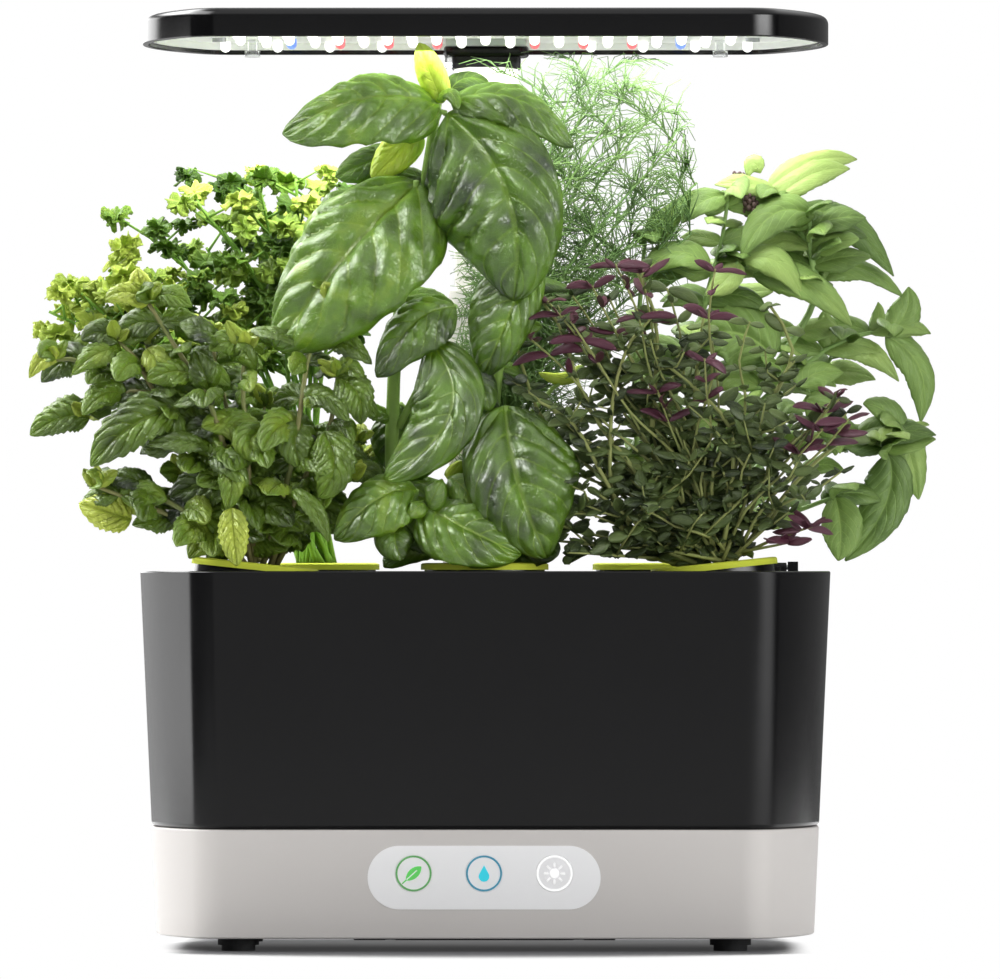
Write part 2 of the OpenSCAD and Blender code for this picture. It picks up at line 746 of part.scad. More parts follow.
// ---- Hood ----
inner_z = hood_top - hood_wall;
function hood_ring(inset) = outline(body_w / 2 - hood_inset, body_d / 2 - hood_inset, inset);
module hood_slab(z0, z1, inset) {
    translate([0, 0, z0]) linear_extrude(z1 - z0) polygon(hood_ring(inset));
}
hood_edge = 3;
rim_drop = 1.7;
reflector_top = hood_z + 5.6;
reflector_t = 1.2;
board_top = reflector_top + 1.2;
neck_w = mast_w - 0.6;
neck_d = mast_d + 2;
collar_w = mast_w - 4 * tube_step + 2.2;
collar_d = mast_d - 4 * tube_step + 2.2;
module hood_shell() {
    color(black) difference() {
        hull() {
            hood_slab(hood_z, hood_z + eps, 0.3);
            hood_slab(hood_z + 0.5, hood_top - hood_edge, 0);
            hood_slab(hood_top - hood_edge * 0.35, hood_top - hood_edge * 0.34, hood_edge * 0.3);
            hood_slab(hood_top - eps, hood_top, hood_edge);
        }
        difference() {
            hood_slab(hood_z - 1, inner_z, hood_wall);
            at_hood_screws() translate([0, 0, board_top]) cylinder(h = hood_h, r = boss_r);
        }
        at_hood_screws() translate([0, 0, hood_z])
            cylinder(h = inner_z - hood_z + 1.4, r = screw_r + 0.05);
    }
}
module mast_cut(z, h) {
    translate([0, mast_y, 0]) box(collar_w + 0.6, collar_d + 0.6, z, h);
}
module reflector() {
    color("#f6f7f7") difference() {
        hood_slab(hood_z + rim_drop, reflector_top, hood_wall + 0.3);
        hood_slab(hood_z + rim_drop - 1, led_z, hood_wall + 1.8);
        mast_cut(hood_z, 10);
        at_hood_screws() translate([0, 0, hood_z]) cylinder(h = 12, r = screw_r + 0.2);
    }
}
module led_board() {
    color("#eef0ee") difference() {
        hood_slab(reflector_top, board_top, 12);
        mast_cut(hood_z, 12);
        at_hood_screws() translate([0, 0, hood_z]) cylinder(h = 12, r = screw_r + 0.2);
    }
}
led_z = reflector_top - reflector_t;
led_end = 36;
led_n = floor((body_w / 2 - led_end) / led_pitch);
rear_row = body_d / 2 - 14;
red_row = body_d / 2 - 38;
row_pitch = 21;
rear_pitch = led_pitch + 1.5;
module emitter() {
    translate([0, 0, -led_r]) cylinder(h = led_r, r = led_r);
    translate([0, 0, -led_r]) sphere(r = led_r);
}
module led(x, y) { translate([x, y, led_z]) emitter(); }
module white_leds() {
    color("#fbfbf2") {
        for (j = [0:4], i = [-led_n:led_n - 1 + j % 2])
            led((i + (1 - j % 2) / 2) * led_pitch, red_row - 10 - row_pitch * j);
        for (s = [-1, 1], i = [2:led_n]) led(s * i * rear_pitch, rear_row);
    }
}
module red_leds() {
    color("#e8a0a0") {
        for (s = [-1, 1], i = [1:led_n - 2]) led(s * i * led_pitch, red_row);
    }
}
module blue_leds() {
    color("#9fb0ee") for (s = [-1, 1]) led(s * led_pitch * (led_n - 1), red_row);
}
peg_end = 42;
peg_x = body_w / 2 - peg_end;
peg_r = 3;
module clear_pegs() {
    color("#e8eeee") for (s = [-1, 1]) translate([s * peg_x, red_row + 8, hood_z - 2.2]) {
        cylinder(h = led_z - hood_z + 2.2, r = peg_r * 0.7);
        cylinder(h = 2.4, r = peg_r);
    }
}
hood_boss_end = 29.5;
hood_boss_edge = 46;
module at_hood_screws() {
    for (sx = [-1, 1], sy = [-1, 1])
        translate([sx * (body_w / 2 - hood_boss_end), sy * (body_d / 2 - hood_boss_edge), 0])
            children();
}
module hood_screws() {
    color(steel) at_hood_screws() translate([0, 0, led_z - head_t])
        screw(inner_z + 1.2 - led_z);
}
neck_top = led_z;
neck_low = hood_z - 2.2;
collar_low = hood_z - 6.9;
module hood_neck() {
    color(black) difference() {
        union() {
            translate([0, mast_y, 0]) box(neck_w, neck_d - 8, neck_low, neck_top - neck_low);
            translate([0, mast_y, collar_low]) linear_extrude(neck_low - collar_low + eps)
                tube_outline(2 * tube_step - 1.1);
            translate([0, mast_y, neck_top - eps]) linear_extrude(inner_z - neck_top + eps)
                tube_outline(2 * tube_step - 1.1);
        }
        translate([0, mast_y, collar_low - 1]) linear_extrude(40) tube_outline(2 * tube_step);
    }
}
module hood_lead() {
    color("#1b1b1b") translate([0, mast_y, 0]) {
        translate([0, 0, sleeve_foot + 10]) cylinder(h = upper_top - sleeve_foot - 11, r = lead_r);
        box(9, 5, upper_top - 5, 5.7);
    }
}
module lead_cover() {
    color("#c9cccd") translate([0, mast_y - collar_d / 2 - 5.4, 0])
        box(neck_w - 2, 8, neck_low + 4, led_z - neck_low - 4);
}

// ---- Plants ----
// Heights of the foliage are in steps of a two-hundredth of the room under the hood.
tall = (grow_h - 3.4) / 200;
soil_z = rim_z + 4;
// The foliage is laid out for front pods this far apart, and spreads with the room between them
layout_pitch = 88;
wide = spread * pod_x_front / layout_pitch;
function from_pod(i, p) =
    [pods[i][0] + wide * p[0], pods[i][1] + spread * p[1], rim_z + tall * p[2]];
// A stem leaves its pod upright and bends outwards: a curve through base, knee and tip
function stem_point(i, tip, u) =
    let (t = from_pod(i, tip), lean = min(4, norm([tip[0], tip[1]])))
    let (way = atan2(tip[1], tip[0]))
    let (b = [pods[i][0] + lean * cos(way), pods[i][1] + lean * sin(way), soil_z])
    let (k = [b[0] + (t[0] - b[0]) * 0.3, b[1] + (t[1] - b[1]) * 0.3, b[2] + (t[2] - b[2]) * 0.75])
    (1 - u) * (1 - u) * b + 2 * u * (1 - u) * k + u * u * t;
// A point on the stem's straight pieces, where a leaf grows out
stem_steps = 3;
function on_stem(i, tip, u) =
    let (s = min(stem_steps - 1, floor(u * stem_steps)), f = u * stem_steps - s)
    stem_point(i, tip, s / stem_steps) * (1 - f) + stem_point(i, tip, (s + 1) / stem_steps) * f;
// Where the foliage may be: clear of the mast, of the lid's swing and of the deck
function open_air(p) =
    !(abs(p[0]) < mast_w / 2 + 6 && p[1] > mast_y - mast_d / 2 - 7) &&
    !(abs(p[0] - lid_x) < lid_w / 2 + 4 && p[1] > lid_y - lid_l / 2 - 4
      && p[1] < lid_y + lid_l / 2 + 11 && p[2] < rim_z + lid_l + 10) &&
    p[2] > rim_z + (abs(p[0]) > body_w / 2 + 6 ? 1 : 9) && p[2] < hood_z - 2;

// A small flat leaf along +X
module small_leaf(l, w) {
    hull() translate([0, 0, -leaf_t / 2]) linear_extrude(leaf_t)
        polygon([[0, -0.4], [l * 0.42, -w / 2], [l, 0], [l * 0.42, w / 2], [0, 0.4]]);
}
// A large leaf through foot, middle and tip, turned to face one way; its halves bend back
leaf_cuts = 6;
leaf_side = 0.9;
leaf_back = 0.38;
function unit(v) = v / norm(v);
function leaf_knee(b) = 2 * b[1] - (b[0] + b[2]) / 2;
function leaf_mid(b, u) =
    (1 - u) * (1 - u) * b[0] + 2 * u * (1 - u) * leaf_knee(b) + u * u * b[2];
function leaf_run(b, u) = unit((1 - u) * (leaf_knee(b) - b[0]) + u * (b[2] - leaf_knee(b)));
function leaf_form(u) = max(0.06, 1.88 * pow(u, 0.5) * pow(1 - u, 0.62));
function leaf_ring(b, face, left, right, u) =
    let (m = leaf_mid(b, u), w = leaf_run(b, u), o = unit(face - (face * w) * w), s = cross(w, o))
    let (l = m + left * leaf_form(u) * (leaf_side * s - leaf_back * o))
    let (r = m - right * leaf_form(u) * (leaf_side * s + leaf_back * o), t = o * leaf_t / 2)
    [m + t, r + t, r - t, m - t, l - t, l + t];
module drawn_leaf(b, face, left, right) {
    n = leaf_cuts;
    points = [for (i = [0:n]) each leaf_ring(b, face, left, right, (i + 0.04) / (n + 0.08))];
    walls = [for (i = [0:n - 1], k = [0:5])
        each [[i * 6 + k, i * 6 + (k + 1) % 6, (i + 1) * 6 + (k + 1) % 6],
              [i * 6 + k, (i + 1) * 6 + (k + 1) % 6, (i + 1) * 6 + k]]];
    e = n * 6;
    ends = [[3, 2, 1], [3, 1, 0], [3, 0, 5], [3, 5, 4],
            [e + 1, e + 2, e + 3], [e, e + 1, e + 3], [e + 5, e, e + 3], [e + 4, e + 5, e + 3]];
    polyhedron(points, concat(walls, ends));
}
module twig(a, b, r0, r1) {
    d = b - a;
    l = norm(d);
    translate(a) rotate([0, acos(d[2] / l), atan2(d[1], d[0])])
        cylinder(h = l, r1 = r0, r2 = r1, $fn = 3);
}
module stem(i, tip, r) {
    for (s = [0:stem_steps - 1])
        twig(stem_point(i, tip, s / stem_steps), stem_point(i, tip, (s + 1) / stem_steps),
             r * (1 - 0.5 * s / stem_steps), r * (1 - 0.5 * (s + 1) / stem_steps) * 0.98);
}
module crown(i, r) {
    at_pod(i) translate([0, 0, sponge_top]) cylinder(h = 6, r1 = r, r2 = r * 0.6, $fn = 10);
}
function leaf_way(a, e) = [cos(e) * cos(a), cos(e) * sin(a), sin(e)];
// Pairs of leaves up a shoot, each pair turned a quarter against the one below
module leafy_shoot(i, tip, n, l, w, pairs, bend, zone) {
    for (k = [0:pairs], s = [0, 180]) {
        u = k == pairs ? 0.985 : 0.3 + 0.68 * k / pairs;
        a = 90 * (k % 2) + s * 0.97 + 37 * n;
        e = 12 + 30 * u + s / 40;
        size = (k == pairs ? 0.55 : 1 - 0.25 * k / pairs);
        p = on_stem(i, tip, u - s / 9000);
        q = p + l * size * leaf_way(a, e - bend / 2);
        side = w * size / 2 * [-sin(a), cos(a), 0];
        m = p + l * size * 0.42 * leaf_way(a, e - bend / 2);
        if (zone(p) && zone(q) && zone(m + side) && zone(m - side) && open_air(q) && open_air(m + side)
            && open_air(m - side))
            translate(p) rotate([0, bend / 2 - e, a]) small_leaf(l * size, w * size);
    }
}
// The point of the drawn stems that is nearest to a leaf's foot
function nearest(points, p) =
    let (far = [for (q = points) norm(q - p)])
    points[[for (i = [0:len(far) - 1]) if (far[i] == min(far)) i][0]];
module drawn_plant(i, stems, leaves) {
    crown(i, 7);
    joints = [for (s = stems, q = s[1]) from_pod(i, q)];
    for (s = stems, k = [0:len(s[1]) - 2]) {
        r = s[0] * (1 - 0.4 * k / len(s[1]));
        twig(from_pod(i, s[1][k]), from_pod(i, s[1][k + 1]), r, r * 0.9);
    }
    for (f = leaves) {
        b = [for (k = [0:2]) from_pod(i, f[k])];
        near = nearest(joints, b[0]);
        if (norm(near - b[0]) > 0.5) twig(near, b[0] + (b[0] - near) * 0.1, 1, 0.8);
        translate(b[0]) cylinder(h = 2.6, r = 1.3, center = true, $fn = 5);
        drawn_leaf(b, f[3], wide * f[4], wide * f[5]);
    }
}
module leafy_plant(i, tips, l, w, pairs, bend, r, zone) {
    crown(i, 7);
    for (n = [0:len(tips) - 1]) {
        stem(i, tips[n], r);
        leafy_shoot(i, tips[n], n, l, w, pairs, bend, zone);
    }
}
row_gap = 2;
high = rim_z + 118 * tall;
side_in = 41 * wide;

mint_tips = [[-45, 5, 112], [-70, 11, 87], [-76, -2, 62], [-60, -10, 27], [-16, -14, 95],
             [32, -18, 104], [16, -22, 83], [34, -22, 62], [-26, 13, 103], [-4, -24, 20],
             [26, -24, 30], [-48, -16, 58]];
mint_zone = function (p) p[1] < -row_gap && p[0] < -side_in && p[2] < high;
module mint() {
    color("#5c9a35") leafy_plant(0, mint_tips, 19, 13, 2, 35, 1.2, mint_zone);
}

thyme_tips = [[-28, -5, 112], [-54, -12, 104], [-8, -20, 106], [19, -8, 104], [36, -18, 85],
              [53, -6, 70], [46, -22, 46], [-46, -22, 84], [12, -28, 67], [-34, -26, 52],
              [-16, -28, 30], [28, -26, 24], [4, 4, 112]];
thyme_zone = function (p) p[1] < -row_gap && p[2] < high
                          && p[0] > (p[2] > rim_z + 64 * tall ? 25 * wide : side_in + 1);
module thyme() {
    color("#47663a") leafy_plant(2, thyme_tips, 12, 8, 2, 25, 0.9, thyme_zone);
}

function dill_side(p) = 49 * wide + (p[2] - rim_z) * 0.17;

// Basil and thai basil grow along drawn stems: each has its radius and its points. A large leaf has
// its foot, middle and tip, the way it faces, and its half widths. A short stalk joins its foot to
// the nearest point of a stem.
thai_stems = [
    [2, [[3, 0, 6], [19, -4, 36], [43, -10, 74], [62, -10, 106], [58, -10, 129], [47, -8, 147]]],
    [1.4, [[34, -8, 60], [66, -6, 86], [84, 0, 93], [92, 2, 93]]],
    [1.6, [[3, -1, 6], [30, 0, 20], [54, 0, 37], [78, -2, 53], [91, 0, 57], [97, 2, 55]]],
    [1.7, [[-2, -2, 6], [4, -10, 55], [20, -20, 105], [32, -26, 120]]],
    [1.5, [[-3, 1, 6], [-8, -8, 65], [-6, -12, 105], [-4, -14, 129]]],
    [1.5, [[3, 1, 6], [26, -10, 45], [38, -20, 70], [50, -24, 77]]],
    [1.2, [[62, -9, 111], [60, -12, 127], [60, -12, 139]]],
    [1.3, [[12, -4, 15], [44, 2, 20], [70, -10, 29]]],
    [1.1, [[74, -4, 51], [86, -1, 52], [91, 0, 46]]],
    [1.1, [[18, -20, 101], [26, -16, 130], [28, -14, 146]]],
    [1.6, [[2, 3, 6], [14, 18, 55], [26, 26, 117]]],
    [1.5, [[1, 3, 6], [-6, 26, 45], [-4, 32, 95]]],
    [1.5, [[3, 2, 6], [44, 22, 45], [70, 28, 85]]]];
thai_leaves = [
    [[44, -4, 149], [61, 2, 160], [79, 10, 161], [-0.3, -1, 0.5], 7, 6],
    [[47, -6, 145], [61, -2, 155], [76, 2, 157], [-0.2, -1, 0.4], 6.5, 6.5],
    [[47, -8, 147], [36, -14, 151], [23, -18, 150], [0, -0.8, 0.6], 5.5, 5.5],
    [[62, -12, 138], [46, -24, 139], [33, -28, 121], [-0.2, -1, 0.5], 9, 9],
    [[57, -12, 140], [76, -4, 136], [93, 0, 115], [0.2, -0.9, 0.5], 8, 7],
    [[63, -4, 113], [78, 2, 119], [97, 6, 107], [0.1, -0.8, 0.6], 6.5, 6.5],
    [[91, 0, 93], [98, 4, 101], [99, 6, 111], [0.2, -1, 0.1], 7, 7],
    [[91, 0, 92], [105, 6, 79], [105, 8, 58], [0.5, -0.8, 0.1], 8.5, 7],
    [[70, -6, 85], [83, -4, 86], [95, 0, 74], [0, -0.9, 0.4], 6, 5],
    [[99, 0, 54], [89, -4, 63], [81, -6, 65], [-0.1, -0.8, 0.6], 7, 6],
    [[95, 2, 55], [100, 8, 45], [103, 8, 28], [0.3, -1, 0.1], 8.5, 8],
    [[91, 0, 46], [90, 0, 26], [74, -4, 4], [0.1, -1, 0.1], 11, 9.5],
    [[70, -10, 29], [72, -14, 16], [71, -18, 4], [-0.1, -1, 0.1], 8, 9],
    [[38, -20, 115], [58, -26, 112], [76, -24, 95], [0, -0.9, 0.5], 8, 8],
    [[21, -24, 118], [7, -28, 124], [-6, -28, 113], [0, -0.8, 0.6], 7.5, 7.5],
    [[46, -24, 83], [30, -26, 93], [12, -26, 88], [0, -1, 0.35], 16, 14],
    [[28, -14, 146], [19, -22, 144], [10, -24, 135], [0, -0.9, 0.5], 6, 6],
    [[32, -26, 120], [27, -28, 113], [19, -28, 107], [-0.1, -0.9, 0.5], 6, 6],
    [[34, -26, 120], [47, -28, 120], [57, -28, 105], [0.1, -0.9, 0.5], 7, 7],
    [[56, -24, 71], [62, -22, 77], [73, -18, 77], [0, -0.8, 0.6], 8, 8],
    [[-4, -14, 129], [3, -18, 136], [15, -18, 148], [0, -1, 0.3], 6, 5],
    [[70, -4, 86], [67, -6, 94], [66, -6, 102], [0.2, -1, 0.1], 5, 5],
    [[58, -14, 67], [68, -10, 59], [70, -10, 45], [0.2, -1, 0.1], 8, 8]];
module thai_basil() {
    color("#6aa045") drawn_plant(5, thai_stems, thai_leaves);
}

parsley_tips = [[-40, 4, 148], [-60, -4, 132], [-17, 8, 148], [-4, -10, 138], [-46, 22, 120],
                [-30, -14, 128], [-90, 0, 102], [-98, 8, 78], [-80, 28, 108], [-84, -10, 62],
                [-20, 20, 112], [6, 14, 120]];
module sprig(i, tip, l) {
    for (k = [0:3]) translate(on_stem(i, tip, k < 2 ? 0.82 : 0.98))
        rotate([86 * (k % 2), -20, 90 * k + tip[0]]) hull() {
            translate([0, 0, -0.4]) linear_extrude(0.8) square(0.8, center = true);
            translate([l * 0.7, 0, -l * 0.18])
                cylinder(h = l * 0.36, r1 = l * 0.42, r2 = l * 0.3, $fn = 6);
        }
}
module parsley() {
    color("#6fae2e") {
        crown(3, 7);
        for (tip = parsley_tips) {
            stem(3, tip, 1.1);
            sprig(3, tip, 14.3);
        }
    }
}

dill_tips = [[27, 2, 188], [42, 12, 186], [56, 4, 180], [68, 12, 166], [74, 2, 146],
             [14, 14, 172], [46, 0, 158], [54, 12, 126]];
module feather(i, tip) {
    for (k = [0:3], s = [-1, 1]) {
        u = 0.5 + 0.48 * k / 3;
        p = on_stem(i, tip, u);
        q = p + (17 - 3 * k) * leaf_way(90 - 65 * s + 15 * (k % 3 - 1), 35);
        if (q[1] > row_gap + 1 && open_air(q) && q[2] < hood_z - 8 && q[0] < dill_side(q)) hull() {
            translate(p) cube(0.8, center = true);
            translate(q) cube([1.6, 0.8, 4], center = true);
        }
    }
}
module dill() {
    color("#8fb060") {
        crown(4, 6);
        for (tip = dill_tips) {
            stem(4, tip, 1);
            feather(4, tip);
        }
    }
}

basil_stems = [
    [3.3, [[-3, -1, 6], [-20, -1, 9], [-34, 3, 31], [-35, 1, 66], [-32, -1, 104],
          [-24, -3, 142], [-18, -5, 179]]],
    [1.5, [[-20, -5, 169], [-17, -7, 176], [-15, -9, 175]]],
    [1.6, [[-27, -3, 131], [-26, -5, 141], [-26, -9, 149]]],
    [2.7, [[-3, 1, 6], [2, -3, 35], [6, -5, 80], [18, -9, 123]]],
    [2.3, [[3, 1, 6], [10, -5, 30], [8, -13, 63]]],
    [1.9, [[-3, -2, 6], [-20, -9, 13], [-22, -15, 25]]],
    [1.6, [[-33, 1, 55], [-22, -7, 77], [-20, -15, 87]]],
    [1.6, [[-34, 1, 85], [-20, -5, 99], [-11, -11, 101]]],
    [1.6, [[-3, -2, 6], [-20, -7, 14], [-27, -9, 23], [-26, -13, 31]]],
    [1.3, [[-3, -2, 6], [-13, -9, 22], [-13, -15, 36]]]];
basil_leaves = [
    [[-18, -5, 179], [-46, -21, 181], [-77, -13, 167], [-0.1, -0.75, 0.65], 19, 22],
    [[-13, -5, 180], [12, -13, 181], [34, -9, 162], [0.15, -0.6, 0.75], 14, 13],
    [[-15, 1, 181], [-8, 5, 189], [2, 9, 187], [0, -0.8, 0.6], 6, 6],
    [[-16, -5, 179], [-21, -7, 191], [-25, -5, 202], [-0.2, -1, 0.1], 6.5, 6.5],
    [[-14, -9, 175], [9, -29, 143], [11, -23, 103], [-0.15, -1, 0.1], 42, 23],
    [[18, -13, 120], [9, -21, 96], [-1, -13, 74], [-0.1, -1, 0.05], 19, 11],
    [[-26, -9, 149], [-53, -25, 122], [-80, -15, 85], [-0.35, -0.85, 0.3], 33, 33],
    [[-20, -15, 87], [-13, -29, 60], [-38, -23, 35], [-0.2, -1, 0.2], 21, 13],
    [[-11, -11, 76], [-2, -17, 71], [2, -15, 61], [0.2, -1, 0.2], 9, 9],
    [[-11, -11, 101], [-27, -18, 95], [-41, -15, 74], [-0.3, -0.8, 0.5], 15, 15],
    [[8, -13, 63], [13, -30, 34], [24, -21, 5], [0.05, -1, 0.12], 22, 29],
    [[-22, -15, 25], [-8, -29, 17], [14, -24, 6], [0.05, -1, 0.4], 17, 17],
    [[-26, -13, 31], [-41, -23, 28], [-57, -19, 12], [-0.2, -0.9, 0.5], 14, 16],
    [[-22, -21, 25], [-19, -25, 29], [-16, -23, 35], [0, -1, 0.3], 5.5, 5.5],
    [[-13, -15, 36], [-7, -21, 31], [-2, -19, 22], [0.1, -1, 0.3], 7, 7],
    [[-33, -15, 20], [-34, -21, 12], [-31, -20, 4], [0, -1, 0.2], 9, 9],
    [[-31, 5, 63], [-30, 3, 49], [-32, 5, 33], [0, -1, 0.1], 16, 19],
    [[-25, -1, 169], [-34, -3, 160], [-43, -3, 150], [-0.2, -1, 0.1], 9, 8],
    [[-32, 3, 161], [-45, 1, 157], [-57, 1, 151], [-0.2, -1, 0.3], 8, 9]];
module basil() {
    color("#4f9a3c") drawn_plant(1, basil_stems, basil_leaves);
}

base_housing();
bottom_cover();
cover_screws();
feet();
control_panel();
food_button();
food_icon();
water_button();
water_icon();
light_button();
light_icon();
control_board();
tact_switches();
dc_jack();
jack_pin();
power_lead();
dock_plug();
mast_sleeve();
mast_screws();
bowl();
bowl_socket();
grow_deck();
fill_lid();
lid_pin();
float();
float_guide();
pump_housing();
pump_impeller();
impeller_shaft();
pump_cover();
pump_filter();
outlet_tube();
basket_1();
basket_2();
basket_3();
basket_4();
basket_5();
basket_6();
grow_sponges();
pod_labels();
mint();
basil();
thyme();
parsley();
dill();
thai_basil();
mast_middle();
mast_upper();
hood_neck();
hood_shell();
reflector();
led_board();
white_leds();
red_leds();
blue_leds();
clear_pegs();
hood_screws();
hood_lead();
lead_cover();
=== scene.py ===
import json
import math
import random

import bmesh
import bpy
import numpy as np
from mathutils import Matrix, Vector


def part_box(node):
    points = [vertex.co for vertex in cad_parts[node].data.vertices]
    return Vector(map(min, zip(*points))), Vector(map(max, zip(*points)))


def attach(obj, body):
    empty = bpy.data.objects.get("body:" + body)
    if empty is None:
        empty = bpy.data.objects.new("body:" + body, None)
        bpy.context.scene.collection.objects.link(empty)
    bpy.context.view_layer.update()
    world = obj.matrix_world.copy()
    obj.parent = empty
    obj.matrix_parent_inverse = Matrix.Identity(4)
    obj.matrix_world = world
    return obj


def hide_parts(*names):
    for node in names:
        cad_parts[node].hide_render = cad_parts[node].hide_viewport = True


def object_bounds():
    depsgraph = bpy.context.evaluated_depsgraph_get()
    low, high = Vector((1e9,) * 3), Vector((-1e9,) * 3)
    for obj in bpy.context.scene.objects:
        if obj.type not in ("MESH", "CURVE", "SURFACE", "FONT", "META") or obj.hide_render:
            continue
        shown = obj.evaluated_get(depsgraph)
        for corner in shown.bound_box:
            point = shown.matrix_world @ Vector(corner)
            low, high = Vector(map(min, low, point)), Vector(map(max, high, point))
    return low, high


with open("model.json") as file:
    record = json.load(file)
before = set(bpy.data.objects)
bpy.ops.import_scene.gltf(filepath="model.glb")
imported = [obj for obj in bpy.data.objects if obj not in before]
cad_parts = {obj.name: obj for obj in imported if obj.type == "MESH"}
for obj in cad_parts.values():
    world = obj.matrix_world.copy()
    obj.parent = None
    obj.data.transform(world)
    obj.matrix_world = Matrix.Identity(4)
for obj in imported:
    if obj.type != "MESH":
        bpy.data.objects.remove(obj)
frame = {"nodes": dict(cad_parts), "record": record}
cad_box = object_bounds()
nodes = frame["nodes"]
MM = 0.001


def reach(node):
    """The lowest and the highest corner of a node, in millimetres."""
    low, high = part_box(node)
    return np.array(low) / MM, np.array(high) / MM


# ---- Sizes ----
bowl_low, bowl_high = reach("bowl")
body_w = bowl_high[0] - bowl_low[0]
body_d = bowl_high[1] - bowl_low[1]
end_r = 125
corner_r = 16
notch_r = 1.2
lean = math.tan(math.radians(2.6))
base_z = reach("base_housing")[0][2]
seam_z = bowl_low[2]
rim_z = bowl_high[2]
hood_z = reach("hood_shell")[0][2]
hood_top = reach("hood_shell")[1][2]
mast_y = body_d / 2 - 24
hood_inset = 0.8
panel_z = seam_z - 18.2
wall = 2.4
hood_wall = 2.6
boss_r = 3.6
bowl_step = 14
button_pitch = 26.8
button_rise = 1.6


# ---- Finishes ----
class Value:
    """A shader socket that takes part in plain arithmetic."""

    def __init__(self, finish, socket):
        self.finish = finish
        self.socket = socket

    def math(self, operation, *others):
        return self.finish.node("ShaderNodeMath", {"operation": operation}, (self, *others))

    def __add__(self, other):
        return self.math("ADD", other)

    __radd__ = __add__

    def __sub__(self, other):
        return self.math("SUBTRACT", other)

    def __rsub__(self, other):
        return self.finish.node("ShaderNodeMath", {"operation": "SUBTRACT"}, (other, self))

    def __mul__(self, other):
        return self.math("MULTIPLY", other)

    __rmul__ = __mul__

    def __pow__(self, other):
        return self.math("POWER", other)

    def size(self):
        return self.math("ABSOLUTE")

    def larger(self, other):
        return self.math("MAXIMUM", other)

    def smooth(self, start, end):
        """Rises smoothly from 0 at start to 1 at end, and falls where end is below start."""
        flip = end < start
        ramp = self.finish.node("ShaderNodeMapRange", {"interpolation_type": "SMOOTHSTEP"},
                                {"Value": self, "From Min": min(start, end), "From Max": max(start, end)})
        return 1 - ramp if flip else ramp

    def band(self, start, rise, fall, end):
        """1 from rise to fall, and smoothly 0 before start and after end."""
        return self.smooth(start, rise) * self.smooth(end, fall)


class Finish:
    """One material, or the world, built node by node."""

    def __init__(self, name, owner=None):
        self.owner = owner or bpy.data.materials.new(name)
        self.owner.use_nodes = True
        self.tree = self.owner.node_tree
        self.tree.nodes.clear()

    def node(self, kind, settings=None, inputs=(), output=0):
        made = self.tree.nodes.new(kind)
        for key, value in (settings or {}).items():
            if key == "stops":
                ramp = made.color_ramp
                for place, colour in value[2:]:
                    ramp.elements.new(place)
                for stop, (place, colour) in zip(ramp.elements, sorted(value)):
                    stop.position = place
                    stop.color = colour
            else:
                setattr(made, key, value)
        for key, value in inputs.items() if isinstance(inputs, dict) else enumerate(inputs):
            if isinstance(value, Value):
                self.tree.links.new(value.socket, made.inputs[key])
            else:
                made.inputs[key].default_value = value
        return Value(self, made.outputs[output]) if made.outputs else None

    def here(self):
        return self.node("ShaderNodeTexCoord", output="Object")

    def noise(self, size, detail=2, place=None):
        """Clouds about size millimetres wide."""
        return self.node("ShaderNodeTexNoise", {}, {"Vector": place or self.here(),
                                                    "Scale": 1 / (size * MM), "Detail": detail})

    def mix(self, share, first, second):
        # 6, 7 and output 2 are the sockets for colours
        return self.node("ShaderNodeMix", {"data_type": "RGBA"}, {0: share, 6: first, 7: second}, 2)

    def ramp(self, share, *stops):
        return self.node("ShaderNodeValToRGB", {"stops": stops}, {0: share})

    def bump(self, height, depth, strength=1):
        """A relief that is depth millimetres deep."""
        return self.node("ShaderNodeBump", {}, {"Strength": strength, "Distance": depth * MM,
                                                "Height": height})

    def parts(self, vector):
        split = self.node("ShaderNodeSeparateXYZ", {}, {0: vector})
        return [Value(self, socket) for socket in split.socket.node.outputs]

    def body(self, **inputs):
        named = {key.replace("_", " "): value for key, value in inputs.items()}
        return self.node("ShaderNodeBsdfPrincipled", {}, named)

    def done(self, surface):
        self.node("ShaderNodeOutputMaterial", {}, {"Surface": surface})
        return self.owner


def rgb(red, green, blue):
    """A display colour from 0 to 255 as a linear one."""
    def linear(value):
        value /= 255
        return value / 12.92 if value <= 0.04045 else ((value + 0.055) / 1.055) ** 2.4
    return (linear(red), linear(green), linear(blue), 1)


def shade(colour, share):
    return tuple(min(1, c * share) for c in colour[:3]) + (1,)


def moulded(name, colour, rough=0.45, specular=0.5, grain=0.5, depth=0.02, cloud=0.05, coat=0):
    """Moulded plastic or rubber with a fine grain and faint clouds."""
    f = Finish(name)
    fine = f.noise(grain, 3)
    broad = f.noise(38, 3)
    tint = f.mix(broad, shade(colour, 1 - cloud), shade(colour, 1 + cloud))
    return f.done(f.body(Base_Color=tint, Roughness=rough + (broad - 0.5) * 0.12 + (fine - 0.5) * 0.1,
                         Specular_IOR_Level=specular, Coat_Weight=coat, Normal=f.bump(fine, depth)))


def turned_metal(name, colour, rough):
    f = Finish(name)
    lines = f.node("ShaderNodeTexWave", {"bands_direction": "Z"},
                   {"Vector": f.here(), "Scale": 900, "Distortion": 2, "Detail": 2})
    tint = f.mix(f.noise(3), shade(colour, 0.86), shade(colour, 1.08))
    return f.done(f.body(Base_Color=tint, Metallic=1.0, Roughness=rough + lines * 0.08,
                         Normal=f.bump(lines, 0.004)))


def clear_plastic(name, colour, rough, clearness):
    f = Finish(name)
    cloud = f.noise(4)
    return f.done(f.body(Base_Color=f.mix(cloud, shade(colour, 0.94), colour),
                         Roughness=rough + cloud * 0.08, Transmission_Weight=clearness, IOR=1.46,
                         Normal=f.bump(cloud, 0.01)))


